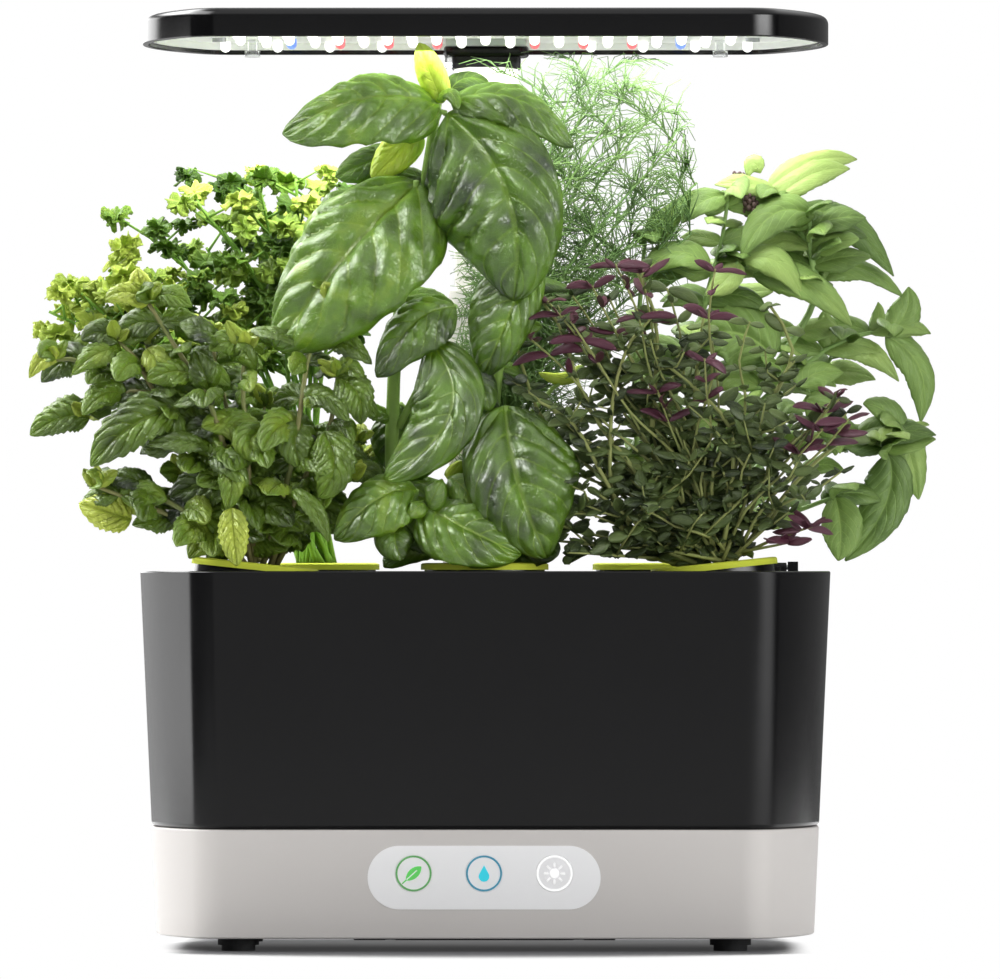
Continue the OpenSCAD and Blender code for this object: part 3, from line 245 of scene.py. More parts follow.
def printed(name, ring, sign, place):
    """Lit ink: a ring of one shade round a sign of another, with a slightly uneven film."""
    f = Finish(name)
    film = f.noise(0.7, 3)
    x, y, z = f.parts(f.here())
    across, up = x - place * button_pitch * MM, z - (panel_z + button_rise) * MM
    inside = ((across * across + up * up) ** 0.5).smooth(0.0056, 0.005)
    tint = f.mix(film * 0.12, f.mix(inside, ring, sign), shade(ring, 0.9))
    return f.done(f.body(Base_Color=tint, Roughness=0.38 + film * 0.1, Normal=f.bump(film, 0.01),
                         Emission_Color=tint, Emission_Strength=0.35))


def circuit(name, colour, track):
    """A board with its tracks under the lacquer."""
    f = Finish(name)
    lanes = f.node("ShaderNodeTexBrick", {"offset": 0.37, "squash": 1.4, "squash_frequency": 3},
                   {"Vector": f.here(), "Scale": 190, "Mortar Size": 0.022, "Color1": (0, 0, 0, 1),
                    "Color2": (0.2, 0.2, 0.2, 1), "Mortar": (1, 1, 1, 1)}, "Fac")
    tint = f.mix(lanes, f.mix(f.noise(9), shade(colour, 0.85), colour), track)
    return f.done(f.body(Base_Color=tint, Roughness=0.3 + lanes * 0.15, Coat_Weight=0.3,
                         Normal=f.bump(lanes, 0.03)))


def porous(name, colour, hole, size):
    """Foam or peat, with pores about size millimetres wide."""
    f = Finish(name)
    cells = f.node("ShaderNodeTexVoronoi", {}, {"Vector": f.here(), "Scale": 1 / (size * MM)}, "Distance")
    crumbs = f.noise(size * 0.5, 4)
    # The pores take the darker hole colour: painted shade inside them.
    tint = f.mix((cells * 1.4 + crumbs * 0.6).smooth(0.25, 1.1), hole, colour)
    return f.done(f.body(Base_Color=tint, Roughness=0.9, Specular_IOR_Level=0.2,
                         Normal=f.bump(cells + crumbs, 0.5)))


def glowing(name, colour, core, strength):
    """An emitter's dome, or the inside of the hood, whose faint glow is painted light from the emitters."""
    f = Finish(name)
    spots = f.noise(1.6)
    tint = f.mix(spots, colour, core)
    return f.done(f.body(Base_Color=tint, Roughness=0.25 + spots * 0.1, Emission_Color=tint,
                         Emission_Strength=strength))


def leafy(name, deep, middle, young, veins, slant, relief, gloss=0.42, through=(0.22, 0.40, 0.04, 1),
          patchy=0.6, shine=0.55):
    """A leaf: its tone runs from deep to young green, and its veins are paler and sunk."""
    f = Finish(name)
    blade = f.node("ShaderNodeAttribute", {"attribute_name": "blade"}, {}, "Vector")
    along, across, tone = f.parts(blade)
    out = across.size()
    nearest = ((along - out ** 1.3 * slant) * veins).math("PINGPONG", 0.5)
    lateral = nearest.smooth(0.1, 0.01) * out.smooth(1.0, 0.7)
    rib = out.smooth(0.06, 0.015)
    net = f.node("ShaderNodeTexVoronoi", {"feature": "DISTANCE_TO_EDGE"},
                 {"Vector": f.here(), "Scale": 620}, "Distance").smooth(0.09, 0.0)
    vein = (lateral * 0.75).larger(rib)
    cloud = f.noise(14, 3)
    youth = tone + (cloud - 0.5) * patchy + (1 - out) * 0.05
    tint = f.ramp(youth, (0.0, deep), (1.0, young), (0.45, middle))
    tint = f.mix(vein * 0.5 + net * 0.1, tint, f.mix(tone, shade(middle, 1.25), shade(young, 1.15)))
    relief_map = (1 - vein) * 0.8 + (1 - net) * 0.3 + f.noise(1.2) * 0.12 + f.noise(6.5, 1) * 3.2
    skin = f.body(Base_Color=tint, Roughness=gloss + cloud * 0.14 + net * 0.06, Specular_IOR_Level=shine,
                  Normal=f.bump(relief_map, relief))
    glow = f.node("ShaderNodeBsdfTranslucent", {}, {"Color": through})
    return f.done(f.node("ShaderNodeMixShader", {}, {0: 0.24, 1: skin, 2: glow}))


def stalky(name, colour, tip):
    """Stalks: ridged along their length, greener or redder in patches."""
    f = Finish(name)
    streak = f.noise(2.5, 3)
    tint = f.mix(f.noise(14, 2), colour, tip)
    return f.done(f.body(Base_Color=f.mix(streak * 0.3, tint, shade(colour, 0.6)), Roughness=0.5,
                         Specular_IOR_Level=0.35, Normal=f.bump(streak, 0.1)))


def basket_net(name):
    f = Finish(name)
    ribs = f.node("ShaderNodeTexWave", {"bands_direction": "Z"},
                  {"Vector": f.here(), "Scale": 120, "Distortion": 0.2})
    tint = f.mix(f.noise(8), rgb(42, 44, 46), rgb(52, 54, 56))
    return f.done(f.body(Base_Color=tint, Roughness=0.5 + ribs * 0.08, Specular_IOR_Level=0.35,
                         Normal=f.bump(ribs, 0.05)))


finishes = {
    "grey_plastic": moulded("light grey plastic", rgb(206, 202, 199), 0.5, 0.35, 0.45, 0.012, 0.015),
    "black_plastic": moulded("black grained plastic", rgb(13, 13, 14), 0.2, 0.22, 0.42, 0.012, 0.06),
    "black_satin": moulded("black satin plastic", rgb(13, 13, 14), 0.16, 0.24, 0.6, 0.004, 0.05),
    "rubber": moulded("foot rubber", rgb(30, 30, 31), 0.75, 0.3, 0.7, 0.05, 0.1),
    "steel": turned_metal("screw steel", rgb(176, 178, 182), 0.28),
    "brass": turned_metal("contact brass", rgb(214, 176, 96), 0.25),
    "panel_grey": moulded("panel plastic", rgb(247, 247, 248), 0.4, 0.35, 0.5, 0.006, 0.012),
    "green_ink": printed("green print", rgb(84, 148, 84), rgb(84, 190, 84), -1),
    "blue_ink": printed("blue print", rgb(52, 128, 154), rgb(44, 196, 214), 0),
    "white_ink": printed("white print", rgb(255, 255, 255), rgb(255, 255, 255), 1),
    "circuit_board": circuit("green board", rgb(34, 92, 52), rgb(92, 150, 96)),
    "black_rubberised": moulded("black inlet plastic", rgb(26, 26, 27), 0.55, 0.4, 0.5, 0.03),
    "cable_sheath": moulded("lead sheath", rgb(24, 24, 25), 0.5, 0.4, 0.9, 0.04),
    "orange_float": moulded("orange float", rgb(232, 112, 42), 0.5, 0.4, 1.2, 0.04),
    "white_plastic": moulded("white plastic", rgb(228, 228, 226), 0.4, 0.4, 0.6, 0.01, 0.02),
    "pump_plastic": moulded("pump plastic", rgb(44, 47, 51), 0.45, 0.4, 0.6, 0.03),
    "filter_foam": porous("filter foam", rgb(46, 96, 148), rgb(12, 30, 52), 0.9),
    "clear_tube": clear_plastic("water tube", (0.86, 0.9, 0.92, 1), 0.1, 0.8),
    "basket_plastic": basket_net("basket plastic"),
    "peat_sponge": porous("peat sponge", rgb(86, 66, 48), rgb(30, 21, 15), 1.4),
    "label_card": moulded("label card", rgb(205, 216, 70), 0.6, 0.25, 0.25, 0.02, 0.05),
    "mint_leaf": leafy("mint leaf", rgb(10, 28, 2), rgb(118, 152, 40), rgb(214, 230, 90), 6, 0.42,
                       0.5, 0.3, patchy=0.9, shine=0.75),
    "basil_leaf": leafy("basil leaf", rgb(6, 26, 1), rgb(102, 142, 26), rgb(196, 218, 62), 6, 0.4,
                        0.24, 0.27, patchy=1.1, shine=1.0),
    "thyme_leaf": leafy("thyme leaf", rgb(18, 30, 10), rgb(102, 122, 64), rgb(78, 30, 50), 4, 0.5,
                        0.1, 0.42, (0.12, 0.2, 0.05, 1)),
    "parsley_leaf": leafy("parsley leaf", rgb(26, 60, 6), rgb(108, 150, 40), rgb(204, 224, 92), 5, 0.6, 0.2),
    "dill_leaf": stalky("dill thread", rgb(78, 114, 62), rgb(132, 162, 92)),
    "thai_basil_leaf": leafy("thai basil leaf", rgb(44, 72, 18), rgb(130, 160, 82), rgb(184, 208, 118),
                             6, 0.45, 0.16, 0.38),
    # The reflector's faint glow is painted light: the emitters' light falling on it.
    "reflector_white": glowing("white reflector", rgb(238, 238, 240), rgb(240, 241, 240), 0.08),
    "led_board_white": circuit("white board", rgb(236, 238, 236), rgb(206, 212, 206)),
    "led_white": glowing("white emitter", (1, 0.99, 0.95, 1), (1, 1, 1, 1), 1.0),
    "led_red": glowing("red emitter", (0.8, 0.1, 0.14, 1), (0.9, 0.24, 0.28, 1), 0.6),
    "led_blue": glowing("blue emitter", (0.12, 0.22, 0.9, 1), (0.25, 0.4, 1, 1), 0.6),
    "clear_plastic": clear_plastic("clear peg plastic", (0.95, 0.97, 0.97, 1), 0.06, 0.9),
    "cover_grey": clear_plastic("grey cover plastic", (0.62, 0.65, 0.66, 1), 0.3, 0.35),
}
stems = {
    "mint": stalky("mint stalk", rgb(112, 140, 72), rgb(140, 108, 84)),
    "basil": stalky("basil stalk", rgb(122, 156, 70), rgb(150, 180, 92)),
    "thyme": stalky("thyme twig", rgb(132, 134, 80), rgb(150, 164, 96)),
    "parsley": stalky("parsley stalk", rgb(104, 158, 48), rgb(150, 190, 84)),
    "thai_basil": stalky("thai basil stalk", rgb(118, 156, 78), rgb(150, 176, 110)),
    "flower": stalky("flower head", rgb(58, 36, 48), rgb(110, 92, 78)),
}


# ---- Meshes ----
def unit(vector):
    return vector / max(1e-9, float(np.linalg.norm(vector)))


def smooth_faces(obj):
    obj.data.polygons.foreach_set("use_smooth", [True] * len(obj.data.polygons))


def shade_by_angle(obj, limit=32):
    """Smooth shading, with edges sharper than limit degrees left sharp."""
    work = bmesh.new()
    work.from_mesh(obj.data)
    for face in work.faces:
        face.smooth = True
    for edge in work.edges:
        edge.smooth = len(edge.link_faces) == 2 and edge.calc_face_angle(0) < math.radians(limit)
    work.to_mesh(obj.data)
    work.free()


def put(name, data):
    """A new object in the scene."""
    obj = bpy.data.objects.new(name, data)
    bpy.context.scene.collection.objects.link(obj)
    return obj


def add_piece(name, points, faces, finish, closed=True):
    """A mesh from points in millimetres."""
    mesh = bpy.data.meshes.new(name)
    mesh.from_pydata([tuple(c * MM for c in p) for p in points], [], faces)
    if closed:
        work = bmesh.new()
        work.from_mesh(mesh)
        bmesh.ops.recalc_face_normals(work, faces=work.faces)
        work.to_mesh(mesh)
        work.free()
    mesh.materials.append(finish)
    return put(name, mesh)


def dress(obj, slot, body, *stands_for):
    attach(obj, body)
    if stands_for:
        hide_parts(*stands_for)
    return obj


class Solid:
    """Points and faces of closed forms, gathered for one piece."""

    def __init__(self):
        self.points = []
        self.faces = []

    def loft(self, rings, hollow=False):
        """Closed skin through rings of (x, y, z) points with the same count; a hollow one runs back
        through its own middle instead of ending in flat faces."""
        count = len(rings[0])
        first = len(self.points)
        for ring in rings:
            self.points.extend(ring)
        last = first + (len(rings) - 1) * count
        for low in range(first, last + count * hollow, count):
            high = first if low == last else low + count
            for i in range(count):
                j = (i + 1) % count
                self.faces.append((low + i, low + j, high + j, high + i))
        if hollow:
            return self
        self.faces.append(tuple(range(first, first + count)))
        self.faces.append(tuple(reversed(range(last, last + count))))
        return self

    def rod(self, x, y, z0, z1, radius, sides=24):
        return self.loft([[(px, py, z) for px, py in circle(x, y, radius, sides)] for z in (z0, z1)])


def circle(x, y, radius, sides):
    turns = [2 * math.pi * k / sides for k in range(sides)]
    return [(x + radius * math.cos(t), y + radius * math.sin(t)) for t in turns]


def half_w(z):
    return body_w / 2 - (rim_z - z) * lean


def half_d(z):
    return body_d / 2 - (rim_z - z) * lean


def end_half(hw, hd, re, rc, arc_steps=26, fillet_steps=10):
    """One quarter of the outline: the fillet behind the flat front, then the bowed end."""
    xc = hw - re
    fy = hd - rc
    fx = xc + math.sqrt((re - rc) ** 2 - fy * fy)
    a = math.atan2(fy, fx - xc)
    fillet = [a + (math.pi / 2 - a) * (1 - i / fillet_steps) for i in range(fillet_steps)]
    arc = [a * (1 - i / arc_steps) for i in range(arc_steps + 1)]
    return ([(fx + rc * math.cos(t), fy + rc * math.sin(t)) for t in fillet]
            + [(xc + re * math.cos(t), re * math.sin(t)) for t in arc])


def outline(hw, hd, inset, slot=None):
    """The body's outline, set in by inset; slot is a notch in the back, as half width and front."""
    quarter = end_half(hw - inset, hd - inset, end_r - inset, max(1, corner_r - inset))
    right = quarter + [(x, -y) for x, y in reversed(quarter[:-1])]
    ring = right + [(-x, y) for x, y in reversed(right)]
    if slot:
        wide, front = slot
        deep = hd - inset
        turn = [math.pi / 2 * k / 4 for k in range(5)]
        r = notch_r
        half = [(-wide - r + r * math.sin(t), deep - r + r * math.cos(t)) for t in turn]
        half += [(-wide + r - r * math.cos(t), front + r - r * math.sin(t)) for t in turn]
        ring += half + [(-x, y) for x, y in reversed(half)]
    return ring


def layer(z, inset, slot=None):
    """The leaning body's outline at height z."""
    return [(x, y, z) for x, y in outline(half_w(z), half_d(z), inset, slot)]


def round_edge(z, edge, up, steps=5):
    """Heights and insets of a rounded edge, from the flat into the wall; up is 1 for a lower edge."""
    turns = [math.pi / 2 * k / steps for k in range(steps + 1)]
    return [(z + up * edge * (1 - math.cos(t)), edge * (1 - math.sin(t))) for t in turns]


def corners(x, y):
    """The four points that lie x and y from the middle."""
    return [(sx * x, sy * y) for sx in (-1, 1) for sy in (-1, 1)]


def even_shading(obj):
    obj.modifiers.new("even shading", "WEIGHTED_NORMAL").keep_sharp = True


def cut(obj, tool):
    """Takes the tool's form out of obj."""
    carve = obj.modifiers.new("cut", "BOOLEAN")
    carve.operation = "DIFFERENCE"
    carve.solver = "EXACT"
    carve.object = tool
    bpy.context.view_layer.update()
    result = bpy.data.meshes.new_from_object(obj.evaluated_get(bpy.context.evaluated_depsgraph_get()))
    obj.modifiers.clear()
    obj.data = result
    bpy.data.objects.remove(tool)


def on_front(x, y, out):
    """A point of the panel's plane: x sideways, y up the wall, out of the wall."""
    return (x, -half_d(panel_z) - y * lean - out, panel_z + y - out * lean)


# ---- Base ----
def make_base_housing():
    plate = 2.5
    outer = [layer(z, inset) for z, inset in round_edge(base_z, 0.8, 1)]
    outer += [layer(z, inset) for z, inset in reversed(round_edge(seam_z, 0.7, -1))]
    inner = [layer(base_z, wall), layer(seam_z - plate, wall)]
    shell = Solid().loft(inner[::-1] + outer)
    step = outline(half_w(base_z), half_d(base_z), bowl_step, (21.4, mast_y - 16.4))
    shell.loft([[(x, y, z) for x, y in step] for z in (seam_z - 1, seam_z + 2)])
    housing = add_piece("light_grey_base", shell.points, shell.faces, finishes["grey_plastic"])
    tool = Solid()
    pill_w, pill_r = 89.2, 12.4
    pill_x = pill_w / 2 - pill_r
    ring = [(s * pill_x + pill_r * math.cos(t), pill_r * math.sin(t))
            for s, start in ((1, -90), (-1, 90)) for t in
            [math.radians(start + 180 * k / 20) for k in range(21)]]
    tool.loft([[on_front(x, y, out) for x, y in ring] for out in (-1.3, 4)])
    for i in (-1, 0, 1):
        disc = circle(button_pitch * i, button_rise, 7.1, 40)
        tool.loft([[on_front(x, y, out) for x, y in disc] for out in (-4, 3)])
    jack_x, jack_z, jack_r = 45, seam_z - 22, 5.5
    disc = circle(jack_x, jack_z, jack_r, 32)
    tool.loft([[(x, y, z) for x, z in disc] for y in (half_d(jack_z) - 5, half_d(jack_z) + 4)])
    cut(housing, add_piece("panel_recess", tool.points, tool.faces, finishes["grey_plastic"]))
    bosses = Solid()
    boss_x = body_w / 2 - 25.5
    boss_y = body_d / 2 - 42
    for x, y in corners(boss_x, boss_y) + [(-boss_x / 3, -boss_y * 1.4), (boss_x / 3, -boss_y * 1.4)]:
        bosses.rod(x, y, base_z + plate, seam_z - plate + 0.2, boss_r)
    posts = add_piece("screw_bosses", bosses.points, bosses.faces, finishes["grey_plastic"])
    for piece in (housing, posts):
        shade_by_angle(piece, 30)
        dress(piece, "grey_plastic", "base", "base_housing")
    even_shading(housing)


make_base_housing()


# ---- Bowl ----
def make_bowl():
    wide = 18.5
    front = mast_y - 13.5
    slot = (wide, front)
    ledge_z = rim_z - 3.5
    floor_z = seam_z + 4.9
    inside = (wide + wall, front - wall)
    ledge = (wide + wall + 2, front - wall - 2)
    outer = [layer(z, inset, slot) for z, inset in round_edge(seam_z, 2, 1, 7)]
    outer += [layer(seam_z + t * (rim_z - seam_z), 0, slot) for t in (0.3, 0.6, 0.9)]
    outer += [layer(z, inset, slot) for z, inset in reversed(round_edge(rim_z, 0.7, -1))]
    inner = [layer(rim_z, wall - 0.5, (wide + wall - 0.5, front - wall + 0.5)),
             layer(rim_z - 0.5, wall, inside), layer(ledge_z, wall, inside),
             layer(ledge_z, wall + 2, ledge), layer(ledge_z - 3, wall + 2, ledge),
             layer(ledge_z - 3, wall, inside), layer(floor_z + 2, wall, inside),
             layer(floor_z + 0.6, wall + 0.6, inside), layer(floor_z, wall + 2, ledge)]
    under = [layer(seam_z + 2.3, bowl_step, ledge), layer(seam_z, bowl_step, ledge)]
    shell = Solid().loft(under + outer + inner)
    bowl = add_piece("black_bowl", shell.points, shell.faces, finishes["black_plastic"])
    shade_by_angle(bowl, 30)
    even_shading(bowl)
    dress(bowl, "black_plastic", "base", "bowl")


make_bowl()


# ---- Hood ----
def make_hood():
    hw = body_w / 2 - hood_inset
    hd = body_d / 2 - hood_inset
    edge = 3
    inner_z = hood_top - hood_wall

    def ring(z, inset):
        return [(x, y, z) for x, y in outline(hw, hd, inset)]

    outer = [ring(z, inset) for z, inset in round_edge(hood_z, 0.5, 1, 3)]
    outer += [ring(z, inset) for z, inset in reversed(round_edge(hood_top, edge, -1, 8))]
    inner = [ring(inner_z, hood_wall), ring(hood_z + 0.4, hood_wall), ring(hood_z, hood_wall - 0.4)]
    shell = Solid().loft(inner + outer)
    for x, y in corners(body_w / 2 - 29.5, body_d / 2 - 46):
        shell.rod(x, y, hood_z + 6.8, inner_z + 0.2, boss_r)
    hood = add_piece("black_hood", shell.points, shell.faces, finishes["black_satin"])
    shade_by_angle(hood, 30)
    even_shading(hood)
    dress(hood, "black_satin", "hood", "hood_shell")


make_hood()


def make_neck():
    """The oval neck under the hood with its collar, and the clear peg beside the collar."""
    low, high = reach("hood_neck")
    half = (high[0] - low[0]) / 2
    depth = (high[1] - low[1]) / 2
    flange_z = hood_z - 2.2

    def oval(z, inset, w=half, d=depth, power=0.42):
        turns = [2 * math.pi * (i + 0.5) / 96 for i in range(96)]
        return [((w - inset) * math.copysign(abs(math.cos(a)) ** power, math.cos(a)),
                 mast_y + (d - inset) * math.copysign(abs(math.sin(a)) ** power, math.sin(a)), z)
                for a in turns]

    def arched(ring):
        """The collar's lower edge rises towards its middle, in front and behind."""
        return [(x, y, z + 1.1 * max(0, 1 - (x / 12) ** 2)) for x, y, z in ring]

    collar = {"w": 13.5, "d": 8.5, "power": 0.22}
    hole = {"w": 12.5, "d": 7.5, "power": 0.2}
    rings = [arched(oval(low[2], 0, **hole)), arched(oval(low[2], 0.4, **collar)),
             arched(oval(low[2] + 0.4, 0, **collar)), oval(flange_z, 0, **collar)]
    rings += [oval(z, inset) for z, inset in round_edge(flange_z, 1.5, 1, 6)]
    rings += [oval(z, inset) for z, inset in reversed(round_edge(flange_z + 4.6, 1.5, -1, 6))]
    rings += [oval(flange_z + 4.8, 2.2), oval(high[2], 2.2), oval(high[2], 0, **hole)]
    neck = Solid().loft(rings, True)
    piece = add_piece("oval_neck", neck.points, neck.faces, finishes["black_plastic"])
    shade_by_angle(piece, 40)
    dress(piece, "black_plastic", "hood", "hood_neck")
    peg = Solid()
    for z0, z1, r in ((hood_z - 6.3, flange_z + 0.5, 1.3), (hood_z - 6.6, hood_z - 5.6, 1.6)):
        peg.rod(-half + 1.8, mast_y - 4, z0, z1, r, 16)
    piece = add_piece("collar_peg", peg.points, peg.faces, finishes["clear_plastic"])
    shade_by_angle(piece)
    dress(piece, "clear_plastic", "hood")


make_neck()


def make_labels():
    """Six slightly domed labels whose edge folds down over the pod's collar."""
    points = np.array([v.co for v in nodes["pod_labels"].data.vertices]) / MM
    deck_top = rim_z - 0.3
    profile = [(11, -0.5), (11, 0.3), (11.6, 0.45), (22.5, 0.45), (23.8, 0.3), (24.4, -0.1), (24.45, -2.2),
               (24.0, -2.2), (23.9, -0.5)]
    labels = Solid()
    baskets = [reach("basket_%d" % k) for k in range(1, 7)]
    middles = np.array([(low + high)[:2] / 2 for low, high in baskets])
    nearest = ((points[:, None, :2] - middles[None]) ** 2).sum(-1).argmin(1)
    for k in range(6):
        own = points[nearest == k]
        middle = (own.min(0) + own.max(0)) / 2
        face = np.linalg.svd(own - own.mean(0), full_matrices=False)[2][2]
        face = face * math.copysign(1, face[2])
        side = unit(np.cross((0, 1, 0), face))
        other = np.cross(face, side)
        rings = []
        for r, h in profile:
            ring = [middle + r * math.cos(a) * side + r * math.sin(a) * other + h * face
                    for a in (2 * math.pi * i / 72 for i in range(72))]
            rings.append([(x, y, max(z, deck_top)) for x, y, z in ring])
        labels.loft(rings, True)
    piece = add_piece("round_labels", labels.points, labels.faces, finishes["label_card"])
    shade_by_angle(piece, 40)
    dress(piece, "label_card", "base", "pod_labels")


make_labels()


# ---- CAD nodes that stay: finish, softened edges and smooth shading ----
softened = {"mast_sleeve": 0.4, "mast_middle": 0.4, "mast_upper": 0.4,
            "lead_cover": 0.4, "fill_lid": 0.4, "reflector": 0.3, "grow_deck": 0.3,
            "feet": 0.5, "food_button": 0.15, "water_button": 0.15, "light_button": 0.15,
            "bottom_cover": 0.3, "pump_cover": 0.3, "float": 0.8}
for subpart in frame["record"]["subparts"]:
    name = subpart["node"]
    obj = nodes[name]
    obj.data.materials.clear()
    obj.data.materials.append(finishes[subpart["material_slot"]])
    smooth_faces(obj)
    weld = obj.modifiers.new("weld", "WELD")
    weld.merge_threshold = 0.01 * MM
    if name in softened:
        bevel = obj.modifiers.new("softened edge", "BEVEL")
        bevel.width = softened[name] * MM
        bevel.segments = 2
        bevel.limit_method = "ANGLE"
        bevel.angle_limit = math.radians(50)
    split = obj.modifiers.new("sharp edges", "EDGE_SPLIT")
    split.split_angle = math.radians(32)
    if name in softened:
        obj.modifiers.new("even shading", "WEIGHTED_NORMAL")


# ---- Herbs ----
chance = random.Random(11)
pod_z = 147

# How a leaf of each kind is formed: width towards foot and tip, bend across, sunk midrib, quilting
# between the veins, number of side veins and their slant, teeth, wavy edge, and size of a facet.
habits = {
    "basil": {"foot": 0.36, "tip": 0.56, "cup": 0.9, "sunk": 0.1, "quilt": 0.14, "veins": 6, "slant": 0.4,
              "teeth": 0.0, "count": 1, "wave": 0.05, "pucker": 0.055, "facet": 1.2},
    "mint": {"foot": 0.44, "tip": 0.68, "cup": 0.5, "sunk": 0.16, "quilt": 0.2, "veins": 6, "slant": 0.42,
             "teeth": 0.17, "count": 9, "wave": 0.14, "pucker": 0.06, "facet": 0.85},
    "thai": {"foot": 0.56, "tip": 0.85, "cup": 0.5, "sunk": 0.12, "quilt": 0.09, "veins": 6, "slant": 0.45,
             "teeth": 0.07, "count": 8, "wave": 0.13, "pucker": 0.02, "facet": 1.2},
    "thyme": {"foot": 0.6, "tip": 0.6, "cup": 0.7, "sunk": 0.12, "quilt": 0.0, "veins": 4, "slant": 0.5,
              "teeth": 0.0, "count": 1, "wave": 0.08, "pucker": 0.0, "facet": 1.3},
}

# The room that the filling lid sweeps stays free of leaves
lid_low, lid_high = reach("fill_lid")
lid_room = (lid_low - (3, 3, 3), lid_high + (3, 5, lid_high[1] - lid_low[1] + 5))


def between(a, b):
    return a + (b - a) * chance.random()


class Herb:
    """Gathers the blades and the stalks of one herb, and makes one mesh of each."""

    def __init__(self, node, habit=None, spare=(3, 3, 3)):
        self.node = node
        self.habit = habits.get(habit)
        low, high = reach(node)
        whole = np.array(cad_box) / MM
        self.low = np.maximum(low - spare, whole[0] + 0.3)
        self.low[2] = rim_z + 1
        self.high = np.minimum(high + spare, whole[1] - 0.3)
        self.high[2] = min(self.high[2], hood_z - 1.2)
        self.points = []
        self.faces = []
        self.marks = []
        self.count = 0
        self.wood = Solid()

    def patch(self, grid, marks):
        """Adds a grid of points with its marks: along, across and tone."""
        rows, cols = grid.shape[:2]
        flat = grid.reshape(-1, 3)
        grid = grid + np.maximum(0, self.low - flat.min(0)) - np.maximum(0, flat.max(0) - self.high)
        if ((grid > lid_room[0]) & (grid < lid_room[1])).all(-1).any():
            return
        start = self.count + np.arange(rows - 1)[:, None] * cols + np.arange(cols - 1)[None, :]
        self.faces.append(np.stack([start, start + 1, start + cols + 1, start + cols], -1).reshape(-1, 4))
        self.points.append(grid.reshape(-1, 3))
        self.marks.append(marks.reshape(-1, 3))
        self.count += rows * cols

    def blade(self, foot, mid, tip, face, left, right, tone):
        """A leaf whose midrib runs from foot through mid to tip, turned towards face."""
        h = self.habit
        foot, mid, tip, face = (np.array(p, float) for p in (foot, mid, tip, face))
        length = np.linalg.norm(mid - foot) + np.linalg.norm(tip - mid)
        rows = int(min(44, max(5, length / h["facet"]))) + 1
        cols = 2 * int(min(13, max(2, max(left, right) / h["facet"]))) + 1
        u = np.linspace(0, 1, rows)[:, None]
        v = np.linspace(-1, 1, cols)[None, :]
        knee = 2 * mid - (foot + tip) / 2
        spine = (1 - u) ** 2 * foot + 2 * u * (1 - u) * knee + u ** 2 * tip
        way = 2 * (1 - u) * (knee - foot) + 2 * u * (tip - knee)
        way /= np.linalg.norm(way, axis=1, keepdims=True) + 1e-9
        out = face - (way @ face)[:, None] * way
        out /= np.linalg.norm(out, axis=1, keepdims=True) + 1e-9
        side = np.cross(way, out)
        widest = h["foot"] / (h["foot"] + h["tip"])
        peak = widest ** h["foot"] * (1 - widest) ** h["tip"]
        form = np.maximum(0.03, u ** h["foot"] * (1 - u) ** h["tip"] / peak)
        saw = (u * h["count"] + 0.5 * (v > 0)) % 1
        half = np.where(v > 0, left, right) * form * (1 + h["teeth"] * (saw - 0.6) * np.abs(v) ** 4)
        cup = h["cup"]
        lane = np.abs(v)
        lift = -half * (1 - np.cos(cup * v)) / cup
        cell = np.abs(np.sin(math.pi * h["veins"] * (u - h["slant"] * lane ** 1.3))) ** 0.7
        lift = lift + h["quilt"] * half * cell * (4 * lane * (1 - lane * 0.93)) ** 0.6
        lift = lift - h["sunk"] * half * np.exp(-(lane / 0.13) ** 1.5)
        lift = lift + h["pucker"] * half * np.sin(23 * u + 5 * v) * np.sin(9 * v - 11 * u) * lane ** 0.5
        drift = chance.random() * 6
        lift = lift + h["wave"] * half * lane ** 2 * np.sin(9 * u + drift + 2.2 * (v > 0))
        across = half * np.sin(cup * v) / cup
        grid = spine[:, None, :] + side[:, None, :] * across[..., None] + out[:, None, :] * lift[..., None]
        marks = np.stack([u + 0 * v, v + 0 * u, tone + 0 * u * v], -1)
        self.patch(grid, marks)

    def leaf(self, foot, way, length, width, tone, droop=0.18, face=(0, -0.6, 0.8)):
        """A leaf that grows from foot along way, and droops."""
        foot = np.array(foot, float)
        way = unit(np.array(way, float))
        tip = foot + way * length - np.array((0, 0, droop * length))
        mid = (foot + tip) / 2 + np.array((0, 0, droop * 0.45 * length))
        self.blade(foot, mid, tip, face, width, width, tone)

    def fan(self, foot, way, up, radius, tone):
        """A frilled, lobed leaflet, spread like a fan around way."""
        way = unit(np.array(way, float))
        up = np.array(up, float)
        up = unit(up - up @ way * way)
        side = np.cross(up, way)
        turn = np.radians(np.linspace(-118, 118, 27))[:, None]
        span = np.linspace(0.04, 1, 5)[None, :]
        lobes = 0.66 + 0.26 * np.abs(np.cos(1.52 * turn)) + 0.1 * np.cos(10.5 * turn)
        r = radius * span * lobes
        ruffle = 0.16 * np.sin(7 * turn + 4 * chance.random())
        ruffle = ruffle + 0.12 * np.sin(3 * turn + 6 * chance.random())
        lift = radius * span ** 2 * (ruffle - 0.16)
        grid = (np.array(foot, float) + way * (r * np.cos(turn))[..., None]
                + side * (r * np.sin(turn))[..., None] + up * lift[..., None])
        self.patch(grid, np.stack([span + 0 * turn, 0.4 * np.sin(3.3 * turn) + 0 * span,
                                   tone + 0 * turn * span], -1))

    def inside(self, p):
        """The point, drawn into the herb's room by a chance amount if it lies outside."""
        inset = between(0.5, 8)
        return Vector(np.clip(p, self.low + inset, self.high - inset))

